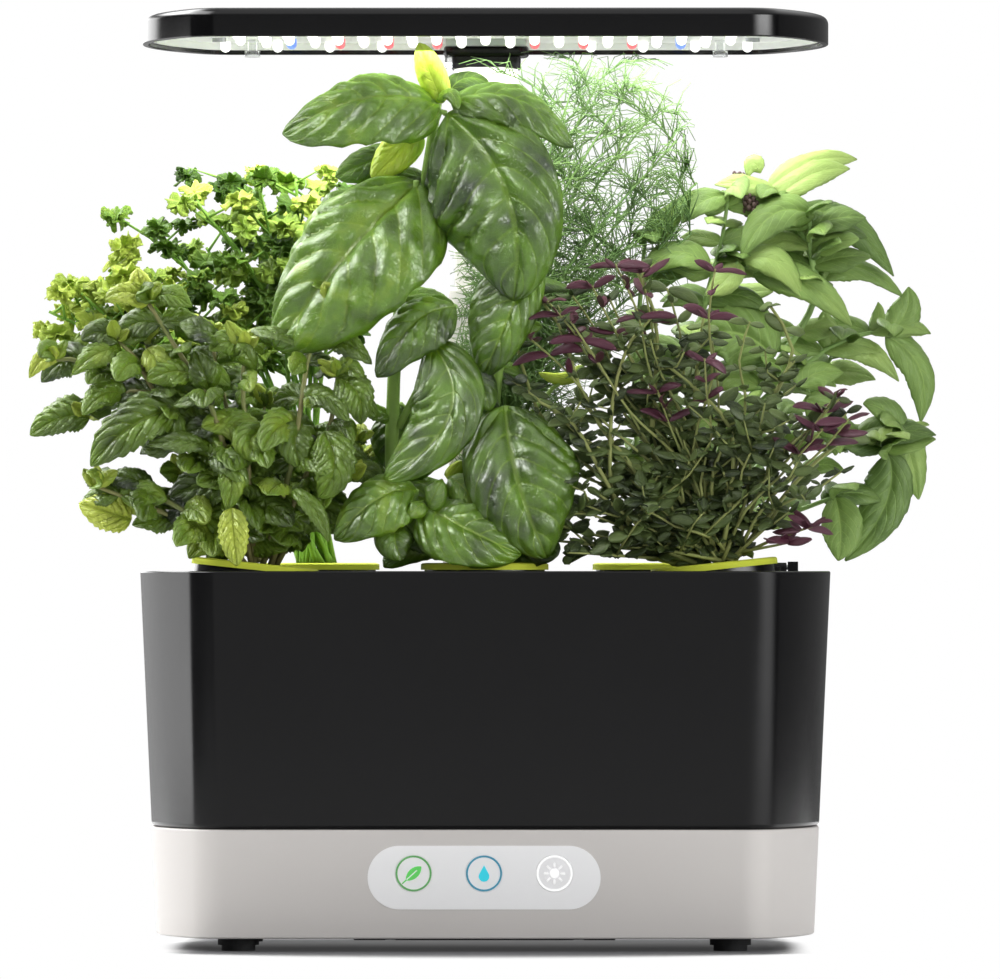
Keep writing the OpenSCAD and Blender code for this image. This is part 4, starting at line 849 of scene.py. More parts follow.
    def stalk(self, path, thick, thin, sides=7):
        """A stalk through the path's points, from thick to thin radius."""
        path = [Vector(p) for p in path]
        smooth = []
        for i in range(len(path) - 1):
            a, b = path[i], path[i + 1]
            before = path[max(0, i - 1)]
            after = path[min(len(path) - 1, i + 2)]
            steps = max(1, int((b - a).length / 7)) if len(path) > 2 else 1
            for k in range(steps):
                t = k / steps
                smooth.append(a * (2 * t ** 3 - 3 * t ** 2 + 1) + b * (3 * t ** 2 - 2 * t ** 3)
                              + (b - before) * 0.5 * (t ** 3 - 2 * t ** 2 + t)
                              + (after - a) * 0.5 * (t ** 3 - t ** 2))
        smooth.append(path[-1])
        rings = []
        for i, p in enumerate(smooth):
            way = (smooth[min(i + 1, len(smooth) - 1)] - smooth[max(i - 1, 0)]).normalized()
            side = way.cross(Vector((0.31, 0.9, 0.3))).normalized()
            up = side.cross(way)
            r = thick + (thin - thick) * i / max(1, len(smooth) - 1)
            rings.append([tuple(p + r * (math.cos(2 * math.pi * k / sides) * side
                                         + math.sin(2 * math.pi * k / sides) * up)) for k in range(sides)])
        self.wood.loft(rings)
        return smooth

    def make(self, slot, stem_finish, thickness=0.35):
        """The finished meshes: leaves with their marks, and stalks."""
        wood = [tuple(np.clip(p, self.low, self.high)) for p in self.wood.points]
        pieces = []
        if self.points:
            points = np.clip(np.concatenate(self.points), self.low, self.high)
            leaves = add_piece(self.node + "_leaves", points.tolist(), np.concatenate(self.faces).tolist(),
                               finishes[slot], closed=False)
            mark = leaves.data.attributes.new("blade", "FLOAT_VECTOR", "POINT")
            mark.data.foreach_set("vector", np.concatenate(self.marks).astype(np.float32).ravel())
            body = leaves.modifiers.new("thickness", "SOLIDIFY")
            body.thickness = thickness * MM
            body.offset = 0
            pieces.append(leaves)
        if wood:
            pieces.append(add_piece(self.node + "_stalks", wood, self.wood.faces, stem_finish))
        for piece in pieces:
            smooth_faces(piece)
            dress(piece, slot, "base", self.node)


def along(path, share):
    """A point of a smooth path, and the way it runs there."""
    i = min(len(path) - 2, int(share * (len(path) - 1)))
    t = share * (len(path) - 1) - i
    return path[i].lerp(path[i + 1], t), (path[i + 1] - path[i]).normalized()


def knee(foot, top, sideways, forward, rise):
    """Where a stalk bends on its way from foot to top, as shares of each distance."""
    return (foot[0] + (top[0] - foot[0]) * sideways, foot[1] + (top[1] - foot[1]) * forward,
            pod_z + (top[2] - pod_z) * rise)


# Basil: foot, middle and tip of each midrib, what it faces, half widths and tone
basil_blades = [
    ((-18, -50, 324), (-46, -66, 326), (-77, -58, 312), (-0.1, -0.75, 0.65), 19, 22, 0.34),
    ((-13, -50, 325), (12, -58, 326), (34, -54, 307), (0.15, -0.6, 0.75), 14, 13, 0.18),
    ((-15, -44, 326), (-8, -40, 334), (2, -36, 332), (0, -0.8, 0.6), 6, 6, 0.13),
    ((-16, -50, 324), (-21, -52, 336), (-25, -50, 347), (-0.2, -1, 0.1), 6.5, 6.5, 1.0),
    ((-18, -52, 325), (-13, -58, 328), (-10, -62, 321), (0.2, -0.8, 0.6), 4, 4, 0.43),
    ((-14, -54, 320), (9, -74, 288), (11, -68, 248), (-0.15, -1, 0.1), 42, 23, 0.2),
    ((18, -58, 265), (9, -66, 241), (-1, -58, 219), (-0.1, -1, 0.05), 19, 11, 0.28),
    ((-26, -54, 294), (-53, -70, 267), (-80, -60, 230), (-0.35, -0.85, 0.3), 33, 33, 0.34),
    ((-20, -60, 232), (-13, -74, 205), (-38, -68, 180), (-0.2, -1, 0.2), 21, 13, 0.26),
    ((-11, -56, 221), (-2, -62, 216), (2, -60, 206), (0.2, -1, 0.2), 9, 9, 0.2),
    ((-11, -56, 246), (-27, -63, 240), (-41, -60, 219), (-0.3, -0.8, 0.5), 15, 15, 0.23),
    ((8, -58, 208), (13, -75, 179), (24, -66, 150), (0.05, -1, 0.12), 22, 29, 0.24),
    ((-22, -60, 170), (-8, -74, 162), (14, -69, 151), (0.05, -1, 0.4), 17, 17, 0.34),
    ((-26, -58, 176), (-41, -68, 173), (-57, -64, 157), (-0.2, -0.9, 0.5), 14, 16, 0.36),
    ((-22, -66, 170), (-19, -70, 174), (-16, -68, 180), (0, -1, 0.3), 5.5, 5.5, 0.33),
    ((-23, -66, 171), (-26, -70, 169), (-30, -68, 166), (0, -1, 0.4), 4, 4.5, 0.43),
    ((-13, -60, 181), (-7, -66, 176), (-2, -64, 167), (0.1, -1, 0.3), 7, 7, 0.53),
    ((-14, -60, 180), (-11, -58, 184), (-7, -56, 187), (0, -1, 0.2), 3.5, 3, 1.0),
    ((-33, -60, 165), (-34, -66, 157), (-31, -65, 149), (0, -1, 0.2), 9, 9, 0.23),
    # This leaf lies deep behind the others; its dark tone is painted shade.
    ((-31, -40, 208), (-30, -42, 194), (-32, -40, 178), (0, -1, 0.1), 16, 19, 0.07),
    ((-25, -46, 314), (-34, -48, 305), (-43, -48, 295), (-0.2, -1, 0.1), 9, 8, 0.8),
    ((-32, -42, 306), (-45, -44, 302), (-57, -44, 296), (-0.2, -1, 0.3), 8, 9, 0.13),
    ((41, -40, 224), (34, -42, 219), (24, -42, 221), (0, -1, 0.3), 3, 3, 1.0),
]
basil_paths = [
    ([(-3, -46, 151), (-20, -46, 154), (-34, -42, 176), (-35, -44, 211), (-32, -46, 249), (-24, -48, 287),
      (-18, -50, 324)], 3.1, 1.8),
    ([(-20, -50, 314), (-17, -52, 321), (-15, -54, 320)], 1.4, 1.2),
    ([(-27, -48, 276), (-26, -50, 286), (-26, -54, 294)], 1.5, 1.2),
    ([(-3, -44, 151), (2, -48, 180), (6, -50, 225), (18, -54, 268)], 2.6, 1.3),
    ([(3, -44, 151), (10, -50, 175), (8, -58, 208)], 2.2, 1.3),
    ([(-3, -47, 151), (-20, -54, 158), (-22, -60, 170)], 1.8, 1.2),
    ([(-33, -44, 200), (-22, -52, 222), (-20, -60, 232)], 1.5, 1.2),
    ([(-34, -44, 230), (-20, -50, 244), (-11, -56, 246)], 1.5, 1.1),
    ([(-3, -47, 151), (-20, -52, 159), (-27, -54, 168), (-26, -58, 176)], 1.5, 1.1),
    ([(-3, -47, 151), (-13, -54, 167), (-13, -60, 181)], 1.2, 0.9),
    ([(-33, -44, 208), (-32, -42, 209), (-31, -40, 208)], 1.0, 0.8),
    ([(6, -46, 190), (26, -42, 215), (41, -40, 224)], 1.1, 0.7),
]


def make_basil():
    herb = Herb("basil", "basil", (4, 3, 3))
    for row in basil_blades:
        herb.blade(*row)
    for path, thick, thin in basil_paths:
        line = herb.stalk(path, thick, thin, 12)
        if len(path) < 4:
            continue
        for k in range(7):
            p, _ = along(line, 0.12 + 0.12 * k)
            a = between(0, 2 * math.pi)
            herb.leaf(p, (math.cos(a), 0.5 * math.sin(a) + 0.2, 0.3), between(12, 24), between(5, 9),
                      between(0, 0.35), 0.3)
    for k in range(16):
        a = math.pi * (0.9 + 1.35 * k / 16) + between(-0.2, 0.2)
        foot = (between(-10, 8), between(-50, -38), between(150, 166))
        length = between(22, 36)
        herb.leaf(foot, (math.cos(a), 0.5 * math.sin(a), between(0.1, 0.7)), length,
                  length * between(0.3, 0.36), between(0, 0.4), between(0.2, 0.5),
                  (between(-0.3, 0.3), -0.9, between(0.2, 0.5)))
    # Leaves behind the stalks get a dark tone: painted shade where the leaves in front keep the light off
    # them.
    for foot, tip in (((-6, -30, 156), (-38, -26, 166)), ((-4, -28, 160), (-30, -22, 184)),
                      ((4, -28, 158), (34, -24, 172)), ((6, -30, 156), (28, -26, 158))):
        way = np.subtract(tip, foot)
        herb.leaf(foot, way, float(np.linalg.norm(way)), 10, 0.05, 0.1, (0, -0.9, 0.4))
    herb.make("basil_leaf", stems["basil"])


# Mint: rows as for the basil
mint_blades = [
    ((-151, -44, 204), (-162, -46, 204), (-174, -44, 197), (-0.2, -1, 0.35), 9, 7, 0.3),
    ((-117, -58, 207), (-134, -66, 201), (-150, -62, 185), (-0.3, -1, 0.3), 12, 10, 0.25),
    ((-135, -50, 165), (-144, -54, 168), (-155, -50, 171), (-0.1, -1, 0.3), 8, 8, 1.0),
    ((-126, -48, 175), (-135, -54, 181), (-144, -50, 180), (-0.2, -0.8, 0.6), 6, 6, 0.1),
    ((-96, -72, 169), (-95, -76, 158), (-94, -74, 147), (0, -1, 0.15), 6.2, 6.2, 0.9),
    ((-73, -70, 176), (-64, -74, 168), (-59, -72, 156), (0.4, -0.9, 0.1), 4, 4, 0.25),
    ((-61, -66, 198), (-57, -74, 185), (-63, -70, 173), (0.1, -1, 0.1), 9, 9, 0.3),
    ((-69, -64, 201), (-72, -70, 194), (-69, -68, 184), (0, -1, 0.2), 7.5, 7.5, 0.2),
    ((-82, -62, 200), (-89, -70, 195), (-85, -68, 187), (-0.1, -1, 0.3), 8, 8, 0.45),
    ((-104, -60, 211), (-110, -66, 211), (-119, -64, 208), (0, -0.7, 0.7), 4.5, 4.5, 0.1),
    ((-105, -58, 214), (-107, -62, 221), (-111, -58, 229), (0, -1, 0.3), 6.5, 6.5, 0.2),
    ((-56, -60, 219), (-48, -68, 213), (-47, -66, 201), (0.3, -1, 0.1), 9, 7, 0.25),
    ((-62, -56, 233), (-52, -62, 232), (-43, -60, 224), (0.2, -0.8, 0.6), 6, 6, 0.2),
    ((-66, -56, 232), (-78, -62, 236), (-89, -58, 237), (0, -0.6, 0.8), 5.5, 5.5, 0.15),
    ((-100, -54, 233), (-108, -60, 238), (-116, -56, 240), (0, -0.7, 0.7), 7, 7, 0.1),
    ((-128, -48, 248), (-137, -52, 252), (-145, -50, 249), (-0.1, -0.8, 0.6), 6, 6, 0.75),
    ((-131, -46, 250), (-132, -48, 256), (-133, -46, 261), (0, -1, 0.3), 4.5, 4.5, 1.0),
    ((-127, -46, 249), (-120, -50, 251), (-112, -50, 246), (0.1, -0.8, 0.6), 6, 6, 0.3),
    ((-164, -44, 226), (-170, -44, 227), (-176, -42, 219), (-0.2, -1, 0.3), 4.5, 4.5, 0.85),
    ((-139, -46, 229), (-147, -52, 229), (-158, -50, 220), (-0.2, -0.9, 0.5), 6.5, 6.5, 0.5),
    ((-129, -50, 230), (-125, -56, 225), (-122, -54, 217), (0.1, -1, 0.2), 6, 6, 0.6),
    ((-103, -64, 189), (-97, -72, 187), (-90, -70, 177), (0.2, -0.9, 0.4), 6.5, 6.5, 0.15),
    ((-100, -66, 185), (-96, -72, 180), (-98, -70, 168), (0, -1, 0.2), 6, 6, 0.4),
    ((-55, -60, 248), (-49, -66, 251), (-41, -66, 251), (0.1, -0.7, 0.7), 5, 5, 0.6),
    ((-55, -60, 249), (-58, -64, 254), (-56, -62, 259), (0, -1, 0.3), 4.5, 4.5, 0.35),
    ((-56, -62, 249), (-59, -70, 252), (-61, -70, 255), (-0.3, -0.8, 0.5), 4, 4, 0.7),
    ((-53, -58, 250), (-50, -58, 256), (-51, -54, 265), (0, -1, 0.1), 3, 3, 0.5),
    ((-87, -58, 222), (-92, -62, 229), (-93, -60, 227), (0, -1, 0.3), 4, 4, 0.3),
    ((-118, -60, 206), (-123, -64, 195), (-130, -62, 193), (-0.2, -1, 0.3), 7, 7, 0.1),
    ((-106, -62, 193), (-115, -68, 195), (-129, -66, 193), (0, -0.7, 0.7), 6, 6, 0.15),
]
mint_paths = [
    [(-89, -48, 147), (-96, -58, 180), (-100, -62, 195), (-106, -60, 212), (-117, -54, 229),
     (-129, -48, 248)],
    [(-85, -48, 147), (-74, -60, 184), (-71, -66, 200), (-66, -60, 231), (-56, -60, 248)],
    [(-88, -48, 147), (-91, -60, 199), (-92, -60, 210), (-92, -58, 222), (-91, -58, 229)],
    [(-93, -46, 147), (-112, -50, 195), (-126, -52, 213), (-133, -50, 226), (-140, -48, 233)],
    [(-91, -48, 147), (-104, -56, 161), (-122, -54, 172), (-131, -50, 175), (-135, -50, 168)],
    [(-100, -48, 180), (-127, -52, 213), (-141, -48, 210), (-151, -44, 204)],
    [(-120, -48, 205), (-150, -45, 224), (-164, -44, 226)],
    [(-82, -46, 147), (-70, -52, 178), (-60, -58, 196), (-56, -60, 219)],
    [(-80, -44, 147), (-66, -48, 170), (-52, -54, 180)],
]


def make_mint():
    herb = Herb("mint", "mint", (9, 4, 4))
    for row in mint_blades:
        herb.blade(*row)
    lines = [herb.stalk(path, 1.3, 0.8) for path in mint_paths]
    for k in range(10):
        top = (between(-150, -46), between(-62, -30), between(172, 240))
        top = (top[0], top[1], top[2] - 30 * max(0, abs(top[0] + 92) / 70 - 0.45))
        bend = knee((-90, -46), top, 0.42, 0.5, 0.55)
        lines.append(herb.stalk([(between(-95, -82), between(-50, -40), pod_z + 2), bend, top], 1.2, 0.7))
    for number, line in enumerate(lines):
        pairs = max(3, int(len(line) * 0.46))
        for k in range(pairs + 1):
            share = 0.3 + 0.7 * k / pairs
            p, _ = along(line, min(0.995, share))
            turn = 1.57 * k + number
            grow = 1 - 0.35 * share
            for s in (0, math.pi):
                a = turn + s + between(-0.35, 0.35)
                # Leaves that grow towards the front get a lighter tone: painted light on the outer leaves,
                # where the light reaches.
                front = 0.14 if math.sin(a) < 0 else 0
                length = between(19, 28) * grow
                herb.leaf(p, (math.cos(a), math.sin(a) * 0.9, 0.15 + 0.5 * (k == pairs)), length,
                          length * between(0.33, 0.4), between(0.0, 0.36) + front,
                          between(0.2, 0.6), (between(-0.5, 0.5), -0.85, between(0.2, 0.7)))
        p, way = along(line, 0.995)
        for k in range(5):
            a = 1.25 * k + number
            length = between(7, 12)
            herb.leaf(p + way * 1.5, (math.cos(a), math.sin(a), between(0.5, 1.6)), length, length * 0.3,
                      between(0.6, 0.95), between(-0.1, 0.2), (0, -0.9, 0.4))
    for k in range(12):
        a = 2 * math.pi * k / 12 + between(-0.2, 0.2)
        foot = (between(-98, -78), between(-52, -36), between(150, 166))
        length = between(16, 24)
        herb.leaf(foot, (math.cos(a), 0.6 * math.sin(a), between(0.2, 0.8)), length, length * 0.37,
                  between(0, 0.4), between(0.2, 0.5), (0, -0.9, 0.4))
    herb.make("mint_leaf", stems["mint"])


# Thyme: woody twigs that fan out of the pod
thyme_paths = [
    [(86, -46, 147), (60, -46, 152), (49, -56, 172), (49, -60, 210), (56, -58, 233), (64, -56, 242)],
    [(64, -52, 200), (66, -50, 235), (62, -54, 252), (57, -54, 262)],
    [(60, -56, 180), (40, -58, 207), (33, -58, 226), (28, -58, 240), (22, -58, 248)],
    [(84, -46, 147), (64, -46, 151), (46, -62, 180), (34, -64, 201), (20, -64, 210)],
    [(90, -48, 147), (94, -56, 174), (94, -60, 199), (79, -60, 216), (65, -58, 227)],
    [(96, -46, 180), (110, -44, 210), (118, -44, 230), (109, -46, 247)],
    [(84, -48, 147), (64, -50, 155), (57, -58, 164), (44, -62, 174)],
    [(80, -42, 147), (52, -44, 175), (24, -46, 200), (12, -46, 232)],
    [(86, -42, 147), (80, -44, 200), (84, -46, 244)],
    [(94, -44, 147), (120, -46, 180), (138, -44, 196)],
]


# Where the plum-coloured tips of the thyme are, as x and z
plum_tips = [(50, 262), (60, 260), (41, 254), (24, 248), (33, 240), (17, 234), (88, 260), (134, 212),
             (129, 199), (139, 203), (117, 156), (125, 162), (66, 214), (84, 226)]


def make_thyme():
    herb = Herb("thyme", "thyme", (24, 4, 5))
    lines = [herb.stalk(path, 1.15, 0.6, 6) for path in thyme_paths]
    for k in range(26):
        top = (between(8, 142), between(-72, -34), between(166, 254))
        top = (top[0], top[1], top[2] - 30 * max(0, abs(top[0] - 88) / 70 - 0.5) * (top[0] > 88))
        lines.append(twist(herb, top, 0.95, 0.4))
    for k in range(12):
        lines.append(twist(herb, (between(14, 66), between(-72, -36), between(152, 182)), 0.9, 0.4))
    for line in list(lines):
        for k in range(2):
            p, _ = along(line, between(0.3, 0.9))
            a = between(0, 2 * math.pi)
            q = p + Vector((math.cos(a), 0.6 * math.sin(a), between(-0.1, 0.9))) * between(12, 28)
            m = (p + q) / 2 + Vector((between(-3, 3), 0, between(-3, 4)))
            lines.append(herb.stalk([p, m, q], 0.55, 0.3, 4))
    for line in lines:
        length = sum((line[i + 1] - line[i]).length for i in range(len(line) - 1))
        pairs = max(2, int(length / between(7, 12)))
        turn = between(0, 3)
        for k in range(pairs + 1):
            share = 0.14 + 0.86 * k / pairs
            p, _ = along(line, min(0.99, share))
            turn += 1.57
            sprout(herb, p, turn, between(0.85, 1.25), between(0.0, 0.4))
    for x, z in plum_tips:
        line = twist(herb, (x, between(-70, -58), z), 0.8, 0.4)
        for k in range(3):
            p, _ = along(line, 0.99 - 0.07 * k)
            sprout(herb, p, 1.57 * k + x, 1.5, between(1.1, 1.3), 0.62)
    herb.make("thyme_leaf", stems["thyme"], 0.3)


def twist(herb, top, thick, thin):
    """A twig that winds from the pod up to its top."""
    foot = (between(80, 96), between(-52, -38), pod_z + 2)
    path = [foot]
    for share in (0.3, 0.55, 0.8):
        bend = 9 * (1 - share)
        rise = share ** 0.8
        path.append(tuple(a + (b - a) * (share if i < 2 else rise) + between(-bend, bend) * (i < 2)
                          for i, (a, b) in enumerate(zip(foot, top))))
    return herb.stalk(path + [top], thick, thin, 5)


def sprout(herb, p, turn, grow, tone, slim=1.0):
    """A pair of small leaves, with two smaller ones in their axils."""
    for s in (0, math.pi):
        a = turn + s + between(-0.3, 0.3)
        length = between(6, 10) * grow
        herb.leaf(p, (math.cos(a), math.sin(a), between(-0.1, 0.9)), length,
                  length * slim * between(0.2, 0.28), tone, between(0, 0.35),
                  (between(-0.5, 0.5), -0.8, between(0.2, 0.9)))
        if chance.random() < 0.5:
            a += 0.7
            herb.leaf(p, (math.cos(a), math.sin(a), 0.8), length * 0.5, length * 0.12, tone, 0.1)


def make_parsley():
    herb = Herb("parsley", None, (2, 3, 3))
    tops = [(-112, 20, 288), (-132, 26, 276), (-116, 30, 262), (-88, 24, 294), (-74, 28, 298),
            (-164, 34, 250), (-156, 40, 238), (-104, 40, 300), (-84, 54, 284), (-140, 46, 262),
            (-60, 40, 290), (-124, 14, 252), (-150, 22, 258), (-96, 16, 270), (-70, 14, 276),
            (-146, 58, 232), (-110, 62, 272), (-64, 62, 262), (-90, 66, 240), (-134, 30, 240),
            (-168, 26, 230), (-100, 26, 246), (-78, 36, 250), (-56, 24, 256), (-170, 22, 246),
            (-160, 14, 228), (-148, 20, 244), (-142, 12, 232)]
    for number, top in enumerate(tops):
        foot = (-66 + 7 * math.cos(number), 34 + 7 * math.sin(number), pod_z)
        line = herb.stalk([foot, knee(foot, top, 0.4, 0.4, 0.66), top], 1.2, 0.6, 6)
        for branch in range(7):
            p, _ = along(line, 0.68 + 0.05 * branch)
            a = 2.4 * branch + number
            q = p + Vector((math.cos(a), math.sin(a) * 0.8, between(0.4, 0.9))) * between(8, 18)
            herb.stalk([p, q], 0.6, 0.4, 5)
            tone = between(0.05, 0.6) if number % 4 else between(0.5, 1)
            # The leftmost sprigs get a lighter, yellower tone: painted light where the light from the upper
            # left falls.
            tone += 0.3 * (top[0] < -138)
            for leaflet in range(5):
                b = a + (leaflet - 2) * 1.1
                herb.fan(q, (math.cos(b), math.sin(b) * 0.8, between(-0.1, 0.9)),
                         (between(-0.5, 0.5), between(-0.9, -0.2), 0.9), between(4.5, 8), tone)
    herb.make("parsley_leaf", stems["parsley"], 0.3)


def make_dill():
    herb = Herb("dill", None, (9, 9, 10))
    tops = [(22, 12, 322), (33, 6, 330), (44, 16, 336), (54, 4, 330), (64, 14, 322), (74, 6, 312),
            (82, 16, 296), (14, 18, 300), (40, 22, 302), (60, 24, 290), (28, 20, 272), (50, 4, 268),
            (18, 6, 250), (68, 20, 262), (80, 8, 276), (36, 12, 246)]
    for number, top in enumerate(tops):
        foot = (3 * math.cos(number), 9 + 3 * math.sin(number), pod_z + 2)
        line = herb.stalk([foot, knee(foot, top, 0.3, 0.5, 0.6), top], 0.9, 0.35, 6)
        for branch in range(16):
            p, _ = along(line, min(0.99, 0.3 + 0.046 * branch))
            a = 2.4 * branch + number
            out = Vector((math.cos(a), 0.45 * math.sin(a), between(0.0, 0.8)))
            q = herb.inside(p + out * between(14, 28))
            m = (p + q) / 2 + Vector((0, 0, between(2, 7)))
            twig = herb.stalk([p, m, q], 0.4, 0.24, 3)
            for thread in range(18):
                start, run = along(twig, 0.1 + 0.05 * thread)
                b = 2.4 * thread + branch
                way = Vector((math.cos(b), 0.6 * math.sin(b), between(-0.5, 0.8))) + run * 0.9
                end = herb.inside(start + way.normalized() * between(8, 19))
                bend = (start + end) / 2 + Vector((between(-2, 2), between(-1, 1), between(0.5, 4)))
                herb.stalk([start, bend, end], 0.27, 0.14, 3)
    herb.make("dill_leaf", finishes["dill_leaf"])


# Thai basil: rows as for the basil
thai_blades = [
    ((110, 30, 294), (127, 36, 305), (145, 44, 306), (-0.3, -1, 0.5), 7, 6, 0.8),
    ((113, 28, 290), (127, 32, 300), (142, 36, 302), (-0.2, -1, 0.4), 6.5, 6.5, 0.7),
    ((113, 26, 292), (102, 20, 296), (89, 16, 295), (0, -0.8, 0.6), 5.5, 5.5, 0.75),
    ((128, 22, 283), (112, 10, 284), (99, 6, 266), (-0.2, -1, 0.5), 9, 9, 0.3),
    ((123, 22, 285), (142, 30, 281), (159, 34, 260), (0.2, -0.9, 0.5), 8, 7, 0.15),
    ((129, 30, 258), (144, 36, 264), (163, 40, 252), (0.1, -0.8, 0.6), 6.5, 6.5, 0.35),
    ((157, 34, 238), (164, 38, 246), (165, 40, 256), (0.2, -1, 0.1), 7, 7, 0.4),
    ((150, 34, 239), (153, 36, 244), (153, 36, 250), (0, -1, 0.2), 3, 3, 0.5),
    ((158, 36, 238), (166, 40, 239), (173, 42, 238), (0, -0.6, 0.8), 3.5, 3.5, 0.6),
    ((157, 34, 237), (171, 40, 224), (171, 42, 203), (0.5, -0.8, 0.1), 8.5, 7, 0.35),
    ((136, 28, 230), (149, 30, 231), (161, 34, 219), (0, -0.9, 0.4), 6, 5, 0.6),
    ((165, 34, 199), (155, 30, 208), (147, 28, 210), (-0.1, -0.8, 0.6), 7, 6, 0.3),
    ((161, 36, 200), (166, 42, 190), (169, 42, 173), (0.3, -1, 0.1), 8.5, 8, 0.55),
    ((157, 34, 191), (156, 34, 171), (140, 30, 149), (0.1, -1, 0.1), 11, 9.5, 0.15),
    ((136, 24, 174), (138, 20, 161), (137, 16, 149), (-0.1, -1, 0.1), 8, 9, 0.45),
    ((104, 14, 260), (124, 8, 257), (142, 10, 240), (0, -0.9, 0.5), 8, 8, 0.45),
    ((87, 10, 263), (73, 6, 269), (60, 6, 258), (0, -0.8, 0.6), 7.5, 7.5, 0.4),
    ((112, 10, 228), (96, 8, 238), (78, 8, 233), (0, -1, 0.35), 16, 14, 0.3),
    ((94, 20, 291), (85, 12, 289), (76, 10, 280), (0, -0.9, 0.5), 6, 6, 0.25),
    ((98, 8, 265), (93, 6, 258), (85, 6, 252), (-0.1, -0.9, 0.5), 6, 6, 0.7),
    ((100, 8, 265), (113, 6, 265), (123, 6, 250), (0.1, -0.9, 0.5), 7, 7, 0.6),
    ((122, 10, 216), (128, 12, 222), (139, 16, 222), (0, -0.8, 0.6), 8, 8, 0.4),
    ((62, 20, 274), (69, 16, 281), (81, 16, 293), (0, -1, 0.3), 6, 5, 0.5),
    ((136, 30, 231), (133, 28, 239), (132, 28, 247), (0.2, -1, 0.1), 5, 5, 0.5),
    ((132, 26, 284), (135, 28, 272), (131, 28, 258), (0.6, -0.8, 0.1), 4, 4, 0.5),
    ((124, 20, 212), (134, 24, 204), (136, 24, 190), (0.2, -1, 0.1), 8, 8, 0.35),
    ((164, 36, 198), (169, 38, 202), (173, 38, 202), (0, -0.6, 0.8), 3, 3, 0.6),
    ((107, 26, 300), (104, 26, 304), (102, 26, 298), (-0.2, -1, 0.2), 4, 4, 0.7),
]
thai_paths = [
    ([(69, 34, 151), (85, 30, 181), (109, 24, 219), (128, 24, 251), (124, 24, 274), (113, 26, 292)],
     1.9, 1.0),
    ([(100, 26, 205), (132, 28, 231), (150, 34, 238), (158, 36, 238)], 1.3, 0.8),
    ([(69, 33, 151), (96, 34, 165), (120, 34, 182), (144, 32, 198), (157, 34, 202), (163, 36, 200)],
     1.5, 0.9),
    ([(64, 32, 151), (70, 24, 200), (86, 14, 250), (98, 8, 265)], 1.6, 0.9),
    ([(63, 35, 151), (58, 26, 210), (60, 22, 250), (62, 20, 274)], 1.4, 0.8),
    ([(69, 35, 151), (92, 24, 190), (104, 14, 215), (116, 10, 222)], 1.4, 0.9),
    ([(128, 25, 256), (126, 22, 272), (126, 22, 284)], 1.1, 0.8),
    ([(78, 30, 160), (110, 36, 165), (136, 24, 174)], 1.2, 0.8),
    ([(140, 30, 196), (152, 33, 197), (157, 34, 191)], 1.0, 0.8),
    ([(84, 14, 246), (92, 18, 275), (94, 20, 291)], 1.0, 0.7),
    ([(68, 37, 151), (80, 52, 200), (92, 60, 262)], 1.5, 0.8),
    ([(67, 37, 151), (60, 60, 190), (62, 66, 240)], 1.4, 0.8),
    ([(69, 36, 151), (110, 56, 190), (136, 62, 230)], 1.4, 0.8),
]
flower_heads = [((101, 26, 296), (98, 26, 300)), ((104, 20, 284), (102, 20, 292))]


def make_thai_basil():
    herb = Herb("thai_basil", "thai", (3, 5, 4))
    for row in thai_blades:
        herb.blade(*row)
    for path, thick, thin in thai_paths:
        line = herb.stalk(path, thick, thin, 9)
        for k in range(6):
            p, _ = along(line, 0.35 + 0.128 * k)
            for s in (0, math.pi):
                a = 1.57 * k + s + between(-0.4, 0.4)
                herb.leaf(p, (math.cos(a), math.sin(a) * 0.8, 0.35), between(17, 27), between(4.5, 7),
                          between(0.1, 0.65), between(0.15, 0.5), (between(-0.3, 0.3), -0.8, 0.6))
    herb.make("thai_basil_leaf", stems["thai_basil"])
    buds = Solid()
    for low, high in flower_heads:
        for k in range(26):
            t = k / 26
            a = 2.4 * k
            out = Vector((math.cos(a), math.sin(a), 0))
            c = Vector(low).lerp(Vector(high), t) + out * 3.4 * (1 - 0.6 * t)
            r = 1.3 * (1 - 0.4 * t)
            rings = []
            for j in range(5):
                s = math.pi * (0.08 + 0.84 * j / 4)
                rings.append([(x, y, c.z - r * 1.3 * math.cos(s))
                              for x, y in circle(c.x, c.y, r * math.sin(s), 8)])
            buds.loft(rings)
    heads = add_piece("thai_basil_buds", buds.points, buds.faces, stems["flower"])
    smooth_faces(heads)
    dress(heads, "thai_basil_leaf", "base", "thai_basil")


make_basil()
make_mint()
make_thyme()
make_parsley()
make_dill()
make_thai_basil()


